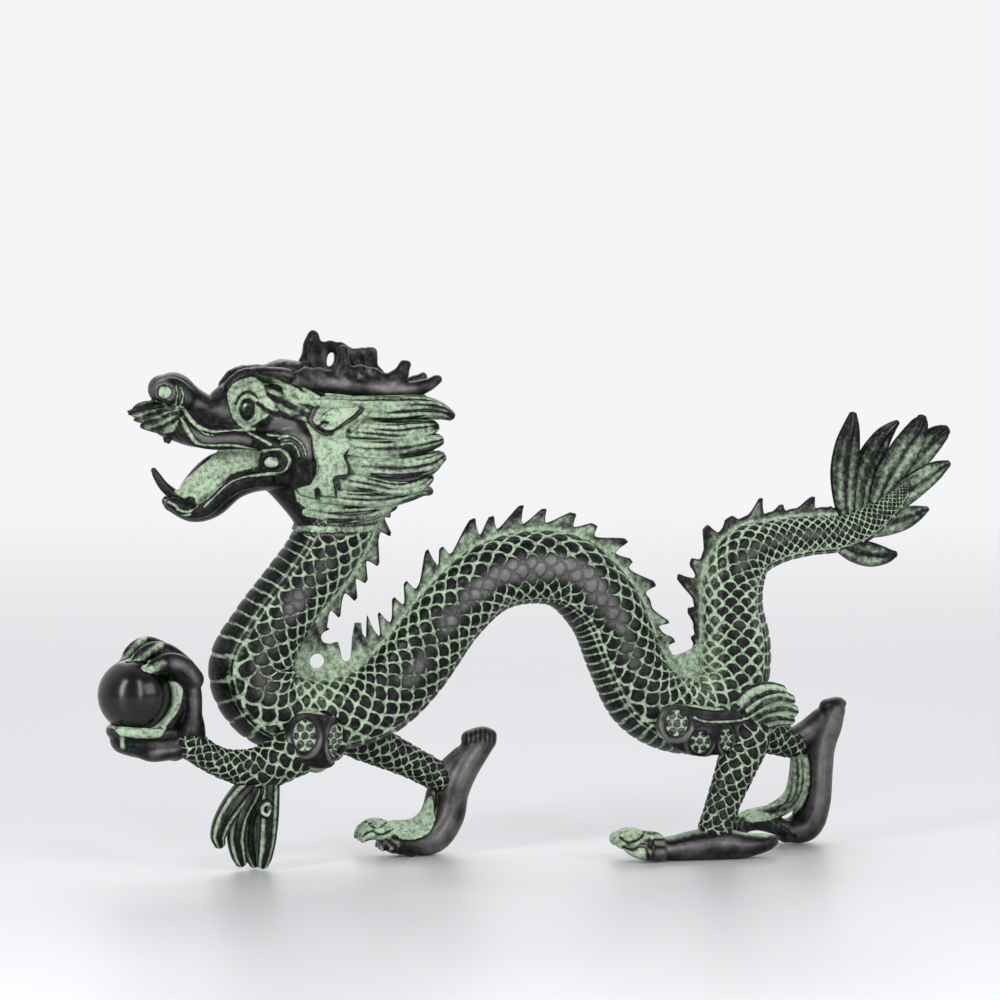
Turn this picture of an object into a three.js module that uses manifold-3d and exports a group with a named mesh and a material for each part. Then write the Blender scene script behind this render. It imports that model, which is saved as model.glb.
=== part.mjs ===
// A striding dragon cast in one piece of metal: an S-shaped scaly body with a toothed crest, a horned and
// maned head with open jaws, a fan of leaves on the tail and four legs, one of them raised to hold a ball.
// Millimetres, +Z up, head towards -X, the raised paw on the -Y side. The origin is the middle of the
// bounding box, on the ground that the feet stand on.
import * as THREE from "three";
import { mergeVertices } from "three/addons/utils/BufferGeometryUtils.js";
import Module from "manifold-3d";

// Driving dimensions.
const CENTRE_X = -1; // middle of the drawn length, which becomes X = 0
const CENTRE_Y = -2.1; // middle of the drawn width, which becomes Y = 0
const BALL_RADIUS = 18.3;
const BALL_CENTRE = [-206, -24, 89.5];
const BALL_GAP = 0.35; // clearance between the ball and the paw
const CREST_FOOT = 5; // how far the crest is sunk into the back
const CREST_HALF_THICKNESS = 2.6;
const FAR_PALM_Y = 10; // side position of the flat palm between the far horn's tines
const GROUND_BLOCK = [600, 300, 60]; // the block that cuts the feet off flat

// The spine, from inside the head to inside the tail fan: x, z, half depth, half width.
const SPINE = [
  [-92, 190, 17, 17],
  [-99, 173, 19, 18],
  [-108, 155, 18, 17],
  [-122, 137, 17.5, 17],
  [-135, 118, 19, 18],
  [-142.5, 99, 22, 19],
  [-135, 82, 21, 20],
  [-118, 74.5, 19, 20],
  [-98, 75.5, 18.5, 19],
  [-79, 82, 19, 18],
  [-62, 97.5, 19, 17.5],
  [-41, 125, 18, 17],
  [-21, 142.5, 18, 17],
  [2, 148, 18.5, 17],
  [22, 143.5, 19, 17],
  [39, 125, 19, 17],
  [49, 101, 19, 17.5],
  [60, 80.5, 19.5, 18.5],
  [78, 71, 19.5, 20],
  [96, 74, 20, 20],
  [105.5, 88, 18.5, 18],
  [107.5, 106, 18, 16],
  [105.5, 125, 16, 14.5],
  [106.5, 141, 16, 13.5],
  [114, 153, 14.5, 12],
  [128, 158.5, 11.5, 10.5],
  [145, 161.5, 10.3, 9.5],
  [161, 162.5, 9.5, 9],
  [175, 167, 9, 8.5],
  [189, 177, 7, 7],
  [199, 187, 4, 4.5],
];
// The crest's teeth: how far along the spine each tip stands, in spine rows, and its height above the back.
const NECK_TEETH = [[0.42, 7], [0.76, 9.5], [1.5, 11], [1.9, 10.5], [2.22, 11.5], [2.7, 11], [3.2, 6]];
const HUMP_TEETH = [
  [9.3, 5],
  [10.04, 16],
  [10.34, 11],
  [10.64, 10.5],
  [10.88, 10.5],
  [11.34, 14],
  [11.62, 10],
  [12.08, 13.5],
  [12.34, 11],
  [12.74, 13.5],
  [13.14, 11.5],
  [13.56, 11],
  [13.9, 9.5],
  [14.28, 13],
  [14.58, 8],
  [15.02, 11],
  [15.24, 5],
  [15.6, 10],
  [16.1, 10],
];
const TAIL_TEETH = [
  [21.38, 6],
  [22, 7.5],
  [22.66, 13.5],
  [23.04, 9],
  [23.68, 11],
  [24.12, 7],
  [24.78, 12],
  [25.38, 7.5],
  [26.18, 10],
];
const TOOTH_REACH = 9; // most that a tooth's slope reaches along the back, before its steep drop
const TOOTH_DROP = 1.5; // how far along the back the steep drop reaches

const STEP = 0.05; // part of a row over which directions are measured
const END_RING = 0.7; // size and reach of the last ring at a limb's rounded end, as shares of the end's size
const WELD = 1e-4; // points closer than this are one point

const wasm = await Module();
wasm.setup();

// Row values at place t along a list of rows, on a uniform Catmull-Rom curve.
function rowAt(rows, t) {
  const last = rows.length - 1;
  const i = Math.min(Math.max(Math.floor(t), 0), last - 1);
  const u = t - i;
  const [before, from, to, after] = [i - 1, i, i + 1, i + 2].map(
    (k) => rows[Math.min(Math.max(k, 0), last)],
  );
  return from.map((p1, k) => {
    const [p0, p2, p3] = [before[k], to[k], after[k]];
    return (
      p1 +
      0.5 * u * (p2 - p0 + u * (2 * p0 - 5 * p1 + 4 * p2 - p3 + u * (3 * (p1 - p2) + p3 - p0)))
    );
  });
}

// A closed solid from rings of points. Neighbouring rings are joined, and each end closes on a point.
function skin(rings, first, last) {
  const sides = rings[0].length;
  const points = [first, ...rings.flat(), last];
  const end = points.length - 1;
  const index = [];
  for (let j = 0; j < sides; j++) {
    const k = (j + 1) % sides;
    index.push(0, 1 + k, 1 + j);
    index.push(end, end - sides + j, end - sides + k);
    for (let i = 0; i < rings.length - 1; i++) {
      const here = 1 + i * sides;
      const next = here + sides;
      index.push(here + j, here + k, next + k);
      index.push(here + j, next + k, next + j);
    }
  }
  const numbers = points.flatMap((point) => point.toArray());
  const geometry = new THREE.BufferGeometry();
  geometry.setAttribute("position", new THREE.Float32BufferAttribute(numbers, 3));
  geometry.setIndex(index);
  return geometry;
}

// A geometry as a manifold-3d solid, turned right side out.
function solid(geometry) {
  const bare = geometry.clone();
  bare.deleteAttribute("normal");
  bare.deleteAttribute("uv");
  const merged = mergeVertices(bare, WELD);
  const vertProperties = merged.attributes.position.array;
  const triVerts = new Uint32Array(merged.index.array);
  const made = new wasm.Manifold(new wasm.Mesh({ numProp: 3, vertProperties, triVerts }));
  if (made.volume() > 0) {
    return made;
  }
  const turned = triVerts.map((_, i) => triVerts[i % 3 === 0 ? i : i + 3 - 2 * (i % 3)]);
  return new wasm.Manifold(new wasm.Mesh({ numProp: 3, vertProperties, triVerts: turned }));
}

// A round-ended limb through rows of x, y, z, half height, half width. Width runs along Y.
function limb(rows, { steps = 1, sides = 6 } = {}) {
  const across = new THREE.Vector3(0, 1, 0);
  const last = rows.length - 1;
  const centre = (t) => new THREE.Vector3(...rowAt(rows, t).slice(0, 3));
  const ringAt = (t, share, push) => {
    const row = rowAt(rows, t);
    const tangent = centre(Math.min(t + STEP, last)).sub(centre(Math.max(t - STEP, 0))).normalize();
    const wide = across.clone().addScaledVector(tangent, -across.dot(tangent)).normalize();
    const high = new THREE.Vector3().crossVectors(wide, tangent);
    const middle = centre(t).addScaledVector(tangent, push * Math.min(row[3], row[4]));
    return Array.from({ length: sides }, (_, j) => {
      const angle = (2 * Math.PI * j) / sides;
      return middle
        .clone()
        .addScaledVector(high, share * row[3] * Math.cos(angle))
        .addScaledVector(wide, share * row[4] * Math.sin(angle));
    });
  };
  const count = last * steps;
  const rings = [ringAt(0, END_RING, -END_RING)];
  for (let i = 0; i <= count; i++) {
    rings.push(ringAt(i / steps, 1, 0));
  }
  rings.push(ringAt(last, END_RING, END_RING));
  const tip = (t, push) => ringAt(t, 0, push)[0];
  return solid(skin(rings, tip(0, -1), tip(last, 1)));
}

// Spine frame at place t: centre, direction of the back, half depth, and millimetres per row.
function spineAt(t) {
  const [x, z, deep] = rowAt(SPINE, t);
  const [x0, z0] = rowAt(SPINE, t - STEP);
  const [x1, z1] = rowAt(SPINE, t + STEP);
  const step = new THREE.Vector3(x1 - x0, 0, z1 - z0);
  const speed = step.length() / (2 * STEP);
  const tangent = step.normalize();
  const centre = new THREE.Vector3(x, 0, z);
  const back = new THREE.Vector3(-tangent.z, 0, tangent.x);
  return { centre, back, deep, speed };
}

function body() {
  const rows = SPINE.map(([x, z, deep, wide]) => [x, 0, z, deep, wide]);
  return limb(rows, { steps: 2, sides: 8 });
}

// One tooth of the crest: a thin wedge sunk into the back, with a long slope and a steep drop tailwards.
// It starts where the tooth before it ends.
function tooth([t, height], i, teeth) {
  const { speed } = spineAt(t);
  const room = i === 0 ? Infinity : (t - teeth[i - 1][0]) * speed - TOOTH_DROP;
  const at = (along, up) => {
    const { centre, back, deep } = spineAt(t + along / speed);
    return centre.clone().addScaledVector(back, deep + up);
  };
  const side = new THREE.Vector3(0, CREST_HALF_THICKNESS, 0);
  const foot = at(0, -CREST_FOOT);
  const rise = at(-Math.min(TOOTH_REACH, room), -1);
  const fall = at(TOOTH_DROP, -1);
  return solid(skin([[foot.clone().add(side), at(0, height), foot.clone().sub(side)]], rise, fall));
}

// A thin upright plate in the middle plane, from an outline of x, z pairs and a round hole: x, z, radius.
function web(outline, hole) {
  const shape = new THREE.Shape(outline.map(([x, z]) => new THREE.Vector2(x, z)));
  if (hole) {
    shape.holes.push(new THREE.Path().absarc(...hole, 0, 2 * Math.PI));
  }
  const options = { depth: 2 * CREST_HALF_THICKNESS, bevelEnabled: false, curveSegments: 5 };
  const plate = new THREE.ExtrudeGeometry(shape, options);
  return solid(plate.translate(0, 0, -CREST_HALF_THICKNESS).rotateX(Math.PI / 2));
}

function crest() {
  const neckWeb = web(
    [
      [-130, 100],
      [-124, 118],
      [-108, 121],
      [-108.5, 114],
      [-107, 110.5],
      [-99, 110],
      [-97.5, 102.5],
      [-91.5, 101.5],
      [-87, 104],
      [-80, 90],
      [-118, 82],
    ],
    [-109.5, 102.5, 3.6],
  );
  const hindWeb = web([[64, 82], [70, 99], [76, 100], [83, 101.5], [96, 100], [98, 80]]);
  const teeth = [NECK_TEETH, HUMP_TEETH, TAIL_TEETH].flatMap((rowOfTeeth) => rowOfTeeth.map(tooth));
  return [...teeth, neckWeb, hindWeb];
}

// The same rows on the other side of the middle plane.
const mirrored = (rows) => rows.map(([x, y, ...rest]) => [x, -y, ...rest]);

// Limbs made on both sides of the middle plane.
const both = (rows, options) => [limb(rows, options), limb(mirrored(rows), options)];

function head() {
  const forehead = limb(
    [
      [-176, 0, 229, 8.5, 8],
      [-165, 0, 226.5, 9.5, 11],
      [-152, 0, 230, 16, 15],
      [-138, 0, 231, 18, 19],
      [-120, 0, 227, 21, 22],
      [-103, 0, 213, 26, 23],
      [-92, 0, 200, 26, 21],
    ],
    { sides: 7 },
  );
  const noseRows = [
    [-188, 0, 240, 7.5, 10],
    [-182, 0, 238.5, 9.5, 12],
    [-172, 0, 233, 8, 9],
  ];
  const nose = limb(noseRows, { sides: 7 });
  const upperJaw = limb([
    [-184, 0, 222, 6.5, 9],
    [-172, 0, 219, 8, 12],
    [-155, 0, 217, 7.5, 15],
    [-138, 0, 216, 8.5, 18],
    [-122, 0, 213, 10, 20],
  ]);
  const upperCurl = [
    [-184, -5, 225, 5.5, 5],
    [-194, -5, 227, 4.6, 4],
    [-203, -3.5, 228, 1.8, 2],
  ];
  const lowerCurl = [
    [-182, -5, 220, 4, 4],
    [-190, -4.5, 221, 3, 3.2],
    [-197, -4, 221.6, 1.6, 1.8],
  ];
  const lipCurls = [upperCurl, lowerCurl].flatMap((rows) => both(rows, { sides: 4 }));
  const lowerJaw = limb([
    [-184, 0, 182.5, 3.5, 7],
    [-173, 0, 178.5, 6, 10],
    [-163, 0, 182.5, 7.5, 11.5],
    [-151, 0, 191.5, 6.5, 13],
    [-137, 0, 195, 7, 16],
    [-121, 0, 198, 12, 18],
  ]);
  const tongue = limb([
    [-178, 0, 185.5, 3, 5],
    [-167, 0, 192.5, 7, 8],
    [-154, 0, 200, 8, 10],
    [-138, 0, 204, 8, 12],
  ]);
  const chinSpikeRows = [
    [-180, 0, 185.5, 3.2, 3.6],
    [-187, 0, 191.5, 2.6, 2.8],
    [-192, 0, 199.4, 1.5, 1.6],
  ];
  const chinSpike = limb(chinSpikeRows, { sides: 4 });
  const throat = limb([[-128, 0, 194, 9, 12], [-113, 0, 184, 14, 16], [-103, 0, 172, 19, 17]]);
  const cheeks = both([[-127, -16, 213, 8, 6], [-117, -18, 208, 11, 7], [-114, -16, 200, 10, 6]]);
  const brows = both([[-153, -10, 243, 6.5, 6], [-142, -13, 245, 4.5, 5], [-130, -15, 241, 5, 5]]);
  const ears = both([[-107, -22, 223, 7.5, 3.5], [-98, -25, 225, 6.5, 3.5], [-87, -27, 229.5, 2, 2]]);
  return [
    forehead,
    nose,
    upperJaw,
    ...lipCurls,
    lowerJaw,
    tongue,
    chinSpike,
    throat,
    ...cheeks,
    ...brows,
    ...ears,
  ];
}

// Locks of the mane: root and tip heights, tip x and how far each lock stands out to the side.
const LOCKS = [
  { root: 226, tipX: -41, tipZ: 226, out: 17, thick: 7 },
  { root: 218, tipX: -49, tipZ: 214, out: 22, thick: 7.5 },
  { root: 208, tipX: -47, tipZ: 205, out: 22, thick: 8 },
  { root: 198, tipX: -55, tipZ: 195, out: 21, thick: 7.5 },
  { root: 187, tipX: -53, tipZ: 187, out: 17, thick: 7 },
];

function mane() {
  const locks = LOCKS.flatMap(({ root, tipX, tipZ, out, thick }) => {
    const midX = (-102 + tipX) / 2;
    return both(
      [
        [-104, -out + 3, root, thick, 7],
        [midX - 4, -out, (root + tipZ) / 2 - 2, thick, 6.5],
        [tipX - 12, -out + 3, tipZ - 1.5, 0.62 * thick, 5],
        [tipX, -out + 5, tipZ, 1.8, 2],
      ],
      { sides: 5 },
    );
  });
  const mass = limb(
    [
      [-112, 0, 201, 27, 20],
      [-94, 0, 202, 28, 21.5],
      [-76, 0, 205, 25, 20],
      [-60, 0, 210, 15, 13],
      [-52, 0, 213, 7, 7],
    ],
    { sides: 8 },
  );
  return [mass, ...locks];
}

function horns() {
  const beam = [
    [-121, -9, 243.5, 5.5, 5],
    [-106, -10, 243, 6.2, 5],
    [-88, -11, 240, 5.2, 4.6],
    [-66, -11.8, 238.8, 4.2, 4],
    [-54.5, -12, 241.6, 3.4, 3.4],
    [-49, -12, 244.5, 2.4, 2.6],
  ];
  const tine = (x, y, z, topX, topZ, thick) => {
    const waist = 0.75 * thick;
    const rows = [
      [x, y, z, thick, thick],
      [(x + topX) / 2, y, (z + topZ) / 2, waist, waist],
      [topX, y, topZ - 2, 2.6, 2.6],
    ];
    return limb(rows, { sides: 5 });
  };
  const farPalm = web(
    [
      [-117, 244],
      [-113, 262],
      [-106, 262],
      [-95.5, 261.5],
      [-91, 258],
      [-79, 258.5],
      [-78, 250],
      [-72, 243],
      [-86, 238],
    ],
    [-99.6, 253, 3.8],
  );
  return [
    ...both(beam),
    tine(-98.5, -11, 242, -97.6, 261, 4.5),
    tine(-73, -11.5, 240, -66, 254, 5.2),
    tine(-112, 10, 245, -108.8, 267, 6),
    farPalm.translate([0, FAR_PALM_Y, 0]),
  ];
}

function tailFan() {
  const leaves = [
    [
      [167, 0, 170, 4, 2.8],
      [164.4, -1, 192, 7.2, 2.8],
      [166, -1, 207, 6.8, 2.6],
      [169, 0, 222.6, 2.6, 1.6],
    ],
    [
      [174, 2, 175, 5, 2.8],
      [179, 4.6, 198, 7.2, 2.8],
      [186, 5, 210.5, 5.4, 2.6],
      [193.6, 5, 218.4, 1.8, 1.4],
    ],
    [
      [182, 1, 179, 5, 2.8],
      [195, 0, 202, 7.8, 2.8],
      [201.6, -1, 212.6, 6.6, 2.6],
      [205.6, -1, 220.4, 3.2, 2],
    ],
    [
      [186, 3, 181, 5, 2.8],
      [205, 4.6, 201.6, 7.2, 2.8],
      [213.6, 5, 210, 6.2, 2.6],
      [219.6, 5, 214.2, 3.2, 2],
    ],
    [
      [184, 1, 174, 4.6, 2.8],
      [200, -1, 185.6, 6.8, 2.8],
      [212, -2, 194, 5, 2.6],
      [218.8, -2, 197.4, 2.2, 1.6],
    ],
    [
      [174, 2, 163.6, 4.4, 3],
      [190, 3, 167.6, 6.4, 3],
      [203, 4, 171.6, 4.6, 2.6],
      [209.4, 4, 174, 1.8, 1.4],
    ],
    [
      [161, 0, 158, 4, 4],
      [172, -2.4, 153, 6.2, 4.4],
      [183, -3.4, 151, 5.2, 3.6],
      [190, -3.4, 151.6, 2.2, 1.8],
    ],
  ];
  return leaves.map((rows) => limb(rows, { sides: 5 }));
}

// The near foreleg is raised: the elbow's tuft of hair reaches the ground, and the paw holds the ball.
function raisedForeleg() {
  const [bx, by, bz] = BALL_CENTRE;
  const arm = limb(
    [
      [-110, -14, 66, 16, 12],
      [-126, -19, 58, 13, 11],
      [-142, -22, 51.5, 11.5, 10],
      [-157, -24, 53, 8.5, 8.5],
      [-169, -27, 58, 7.5, 8],
      [-178, -29, 66, 8.5, 9],
    ],
    { sides: 8 },
  );
  const shoulder = limb([[-120, -19, 70, 7, 5], [-116, -22, 62, 13, 6], [-110, -20, 55, 8, 5]]);
  const palm = limb([
    [-192, by, 62, 6, 10],
    [-181, by, 67, 7.6, 12],
    [-178.2, by, 80, 6.2, 13],
    [-179, by, 94, 6.2, 13],
    [-184.6, by, 103, 5.4, 12],
  ]);
  const lining = limb([
    [-187, by + 3, 97, 4, 11],
    [-187, by + 3, 81, 4, 12],
    [-197, by + 2, 71.4, 4, 12],
    [-214, by + 2, 71.4, 4, 10],
  ]);
  const thumb = limb([
    [-184, by, 66, 7, 10],
    [-197, by, 64.2, 7.8, 12],
    [-211, by, 67.2, 7.4, 11],
  ]);
  const fingers = [-9, 0, 9].map((dy) =>
    limb(
      [
        [-182, by + dy, 102, 5, 4],
        [-191, by + 0.9 * dy, 109, 4, 4],
        [-200, by + 0.8 * dy, 113.5 - 0.1 * Math.abs(dy), 3.6, 3.6],
        [-208, by + 0.9 * dy, 110, 2.8, 2.8],
        [-211, by + dy, 104.5, 1.4, 1.4],
      ],
      { sides: 4 },
    ),
  );
  const tuft = [
    [
      [-146, -22, 44, 5, 5],
      [-157, -25, 33, 5, 4.8],
      [-164, -26, 20, 4, 3.8],
      [-163.6, -25.6, 14.4, 2.8, 2.8],
    ],
    [
      [-147, -23, 40, 5.5, 5],
      [-153.6, -23, 25, 4.6, 4.6],
      [-154.2, -22, 13, 4.2, 4.2],
      [-152, -21, 3, 3, 3],
    ],
    [
      [-142, -20, 40, 5.5, 6],
      [-147, -18.4, 25, 4.4, 4.6],
      [-146.6, -17.6, 13, 4.2, 4.2],
      [-144.6, -17.4, 1, 3.2, 3.2],
    ],
    [
      [-138, -22, 40, 5, 6],
      [-138.8, -24, 26, 4.8, 5],
      [-139.8, -24, 13, 4.4, 4.4],
      [-141.2, -22.6, 1, 3.4, 3.4],
    ],
  ].map((rows) => limb(rows));
  return [arm, shoulder, palm, lining, thumb, ...fingers, ...tuft];
}

// A foot seen from the side as a hook: a raised claw behind, a broad back, and curled toes in front.
function hookedFoot(rows, toes) {
  return [limb(rows, { sides: 7 }), ...toes.map((toe) => limb(toe, { sides: 4 }))];
}

function farForeleg() {
  const legRows = [
    [-92, 10, 66, 12, 10],
    [-74, 15, 56, 10, 9],
    [-58, 18, 48, 8.5, 8.5],
    [-42, 19, 39, 8, 7.8],
  ];
  const leg = limb(legRows, { sides: 7 });
  const foot = hookedFoot(
    [
      [-20, 19, 58.5, 6.8, 7],
      [-26.5, 19, 50, 7.8, 7.8],
      [-33, 19, 38, 8.4, 9],
      [-37.6, 20, 22, 8.6, 10],
      [-46, 20, 9.4, 8.8, 11],
      [-57, 20, 6, 6.2, 10],
    ],
    [-8, 0, 8].map((dy) => [
      [-52, 20 + 0.6 * dy, 8, 5.5, 4],
      [-74, 20 + 1.1 * dy, 11 + 0.4 * dy, 4.6, 3.8],
      [-81, 20 + 1.2 * dy, 12.5 + 0.3 * dy, 2.6, 2.4],
    ]),
  );
  const palm = limb([
    [-50, 20, 30, 4, 7],
    [-52, 20, 21, 5, 8],
    [-60, 20, 14, 5, 8],
    [-68, 20, 13, 4, 8],
  ]);
  return [leg, ...foot, palm];
}

function nearHindLeg() {
  const legRows = [
    [110, -14, 70, 13, 10],
    [108, -20, 60, 12, 9.5],
    [102, -23, 46, 11, 9],
    [96.5, -24, 33, 9.5, 9],
    [92, -25, 18, 9, 9],
  ];
  const leg = limb(legRows, { sides: 7 });
  const thigh = limb([[67, -19, 72, 8, 4], [80, -22, 66, 12, 5], [96, -22, 64, 11, 5]]);
  const sole = limb(
    [
      [58, -25, 7, 6.5, 10],
      [72, -25, 5.5, 6, 11],
      [90, -25, 6.5, 8, 11.5],
      [106, -25, 7, 7, 10],
      [118, -24, 8, 5, 7],
    ],
    { sides: 7 },
  );
  const toes = [-8.5, 0, 8.5].map((dy) =>
    limb(
      [
        [60, -25 + 0.7 * dy, 8, 5.5, 4.6],
        [46, -25 + 1.05 * dy, 12, 5, 4.8],
        [40, -25 + 1.1 * dy, 11.2, 3.4, 3.6],
      ],
      { sides: 4 },
    ),
  );
  const leaves = [
    [[107, -16, 74, 6, 5], [115, -19, 82.4, 5.4, 4.6], [125.6, -20.4, 83.6, 3.8, 3.4]],
    [[108, -18, 72, 6, 5], [119, -21.4, 79.4, 4.8, 4.4], [130, -22, 79.4, 3.2, 3.2]],
    [[108, -18, 69, 6, 5], [121, -21.8, 75, 4.6, 4.4], [132, -22, 74, 3, 3]],
    [[108, -17, 66, 6, 5], [121, -21, 70.4, 4.4, 4.2], [130.6, -21, 69.4, 2.8, 2.8]],
  ].map((rows) => limb(rows));
  return [leg, thigh, sole, ...toes, ...leaves];
}

function farHindLeg() {
  const legRows = [
    [100, 10, 72, 14, 12],
    [120, 18, 62, 11, 10],
    [136, 23, 54, 9, 9],
    [150, 25, 51, 9.5, 8.5],
  ];
  const leg = limb(legRows, { sides: 7 });
  const foot = hookedFoot(
    [
      [166.5, 25, 69, 6.6, 6.6],
      [163, 25, 61, 7.8, 7.6],
      [158.4, 25, 46, 8.2, 9],
      [157, 25, 28, 8.4, 10],
      [153.4, 25, 12, 9.2, 11],
      [142, 25, 6, 6.2, 10],
    ],
    [-8, 0, 8].map((dy) => [
      [146, 25 + 0.6 * dy, 7, 5.5, 4.2],
      [124, 25 + 1.1 * dy, 11, 4.8, 3.8],
      [116, 25 + 1.2 * dy, 12, 2.6, 2.4],
    ]),
  );
  const palm = limb([
    [147, 25, 40, 4, 7],
    [146, 25, 28, 5, 8],
    [140, 25, 19, 4.5, 8],
    [130, 25, 16, 4, 8],
  ]);
  return [leg, ...foot, palm];
}

function sphere(radius, centre) {
  const geometry = new THREE.SphereGeometry(radius, 17, 10);
  geometry.rotateX(Math.PI / 2);
  geometry.translate(...centre);
  return solid(geometry);
}

// Joins every limb, sinks the ball's seat into the paw, and cuts the feet off flat at the ground.
function casting() {
  const limbs = [
    body(),
    ...crest(),
    ...head(),
    ...mane(),
    ...horns(),
    ...tailFan(),
    ...raisedForeleg(),
    ...farForeleg(),
    ...nearHindLeg(),
    ...farHindLeg(),
  ];
  const joined = limbs.reduce((sum, next) => sum.add(next));
  const seat = sphere(BALL_RADIUS + BALL_GAP, BALL_CENTRE);
  const ground = new THREE.BoxGeometry(...GROUND_BLOCK).translate(0, 0, -GROUND_BLOCK[2] / 2);
  return joined.subtract(seat).subtract(solid(ground));
}

function geometryOf(manifold) {
  const { vertProperties, triVerts } = manifold.getMesh();
  const geometry = new THREE.BufferGeometry();
  geometry.setAttribute("position", new THREE.BufferAttribute(vertProperties, 3));
  geometry.setIndex(new THREE.BufferAttribute(triVerts, 1));
  geometry.computeVertexNormals();
  return geometry;
}

const bronze = new THREE.MeshStandardMaterial({
  color: 0x33403a,
  roughness: 0.55,
  metalness: 0.4,
});
const polishedBronze = new THREE.MeshStandardMaterial({
  color: 0x17171a,
  roughness: 0.3,
  metalness: 0.5,
});

const dragon = new THREE.Mesh(geometryOf(casting()), bronze);
dragon.name = "dragon";
const ball = new THREE.Mesh(geometryOf(sphere(BALL_RADIUS, BALL_CENTRE)), polishedBronze);
ball.name = "ball";

const group = new THREE.Group();
group.add(dragon, ball);
group.position.set(-CENTRE_X, -CENTRE_Y, 0);

export default group;
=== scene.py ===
# %% [markdown]
# # A walking dragon in patinated bronze
# The real thing is a hollow casting, about 45 cm long: a snake-like scaly body, a horned and maned
# head, a fan of leaves for a tail, and a raised paw that grips a polished ball. The metal is almost
# black where hands and cloths rub it, and pale green verdigris fills every groove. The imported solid
# gives the frame and the size. This script makes the finished surfaces around it.

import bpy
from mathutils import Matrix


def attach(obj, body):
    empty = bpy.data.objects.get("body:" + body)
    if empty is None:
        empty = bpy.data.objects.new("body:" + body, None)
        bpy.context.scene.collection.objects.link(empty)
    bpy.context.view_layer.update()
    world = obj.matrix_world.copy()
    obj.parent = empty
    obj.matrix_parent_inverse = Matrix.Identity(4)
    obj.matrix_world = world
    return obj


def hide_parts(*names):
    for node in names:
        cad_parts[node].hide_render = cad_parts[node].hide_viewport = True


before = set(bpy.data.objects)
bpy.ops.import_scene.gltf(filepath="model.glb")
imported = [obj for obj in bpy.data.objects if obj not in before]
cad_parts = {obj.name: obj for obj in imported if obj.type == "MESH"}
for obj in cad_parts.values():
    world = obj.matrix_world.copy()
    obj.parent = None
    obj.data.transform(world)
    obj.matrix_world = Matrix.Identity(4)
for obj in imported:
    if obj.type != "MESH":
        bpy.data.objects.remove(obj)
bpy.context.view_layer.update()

import math

import bpy
import numpy as np
from mathutils import Vector

# %% [markdown]
# ## Drawing in millimetres
# The shapes are drawn in millimetres on a drawing whose X runs from the head (negative) to the tail.
# MIDDLE is the drawing's point that stands at the frame's origin, so each finished point has it taken
# off and is divided by 1000. A curve through a few rows of numbers is all that the limbs need, and a
# Catmull-Rom curve passes through the rows themselves, which makes them easy to choose.

# %% Curves through rows
MIDDLE = np.array([-1.0, -2.1, 0.0])
SIDE = np.array([0.0, 1.0, 0.0])
rng = np.random.default_rng(7)


def rows_at(rows, t):
    """Rows at places t: each number is a Catmull-Rom blend of its four neighbours, a cubic in u."""
    rows = np.asarray(rows, float)
    last = len(rows) - 1
    i = np.clip(np.floor(t).astype(int), 0, last - 1)
    u = (t - i)[:, None]
    p0, p1, p2, p3 = (rows[np.clip(i + k, 0, last)] for k in (-1, 0, 1, 2))
    return p1 + 0.5 * u * (p2 - p0 + u * (2 * p0 - 5 * p1 + 4 * p2 - p3 + u * (3 * (p1 - p2) + p3 - p0)))


def evenly(rows, step):
    """Places along the rows whose points are about step millimetres apart, and their arc lengths."""
    fine = np.linspace(0, len(rows) - 1, 60 * len(rows))
    way = rows_at(rows, fine)[:, :3]
    length = np.concatenate([[0], np.cumsum(np.linalg.norm(np.diff(way, axis=0), axis=1))])
    s = np.linspace(0, length[-1], max(6, int(round(length[-1] / step)) + 1))
    return np.interp(s, length, fine), s


def unit(v):
    """The vectors v at length one."""
    return v / np.maximum(np.linalg.norm(v, axis=-1, keepdims=True), 1e-9)


def bell(distance, width):
    """1 at no distance, falling to a third at width."""
    return np.exp(-((distance / width) ** 2))


def smooth(x, low, high):
    """0 below low, 1 above high, and the cubic 3k^2 - 2k^3 between them."""
    k = np.clip((x - low) / (high - low), 0, 1)
    return k * k * (3 - 2 * k)


# %% [markdown]
# ## Limbs as grids
# Most of the casting is round-ended limbs: a ring of points is carried along a path, and its half
# height and half width change on the way. A grid of two numbers, the length along and the angle round,
# covers a limb, so scales, hair and claws are later just formulas in those two numbers.

# %% A limb
CAP_RINGS = 4  # in the rounding of each end


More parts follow.
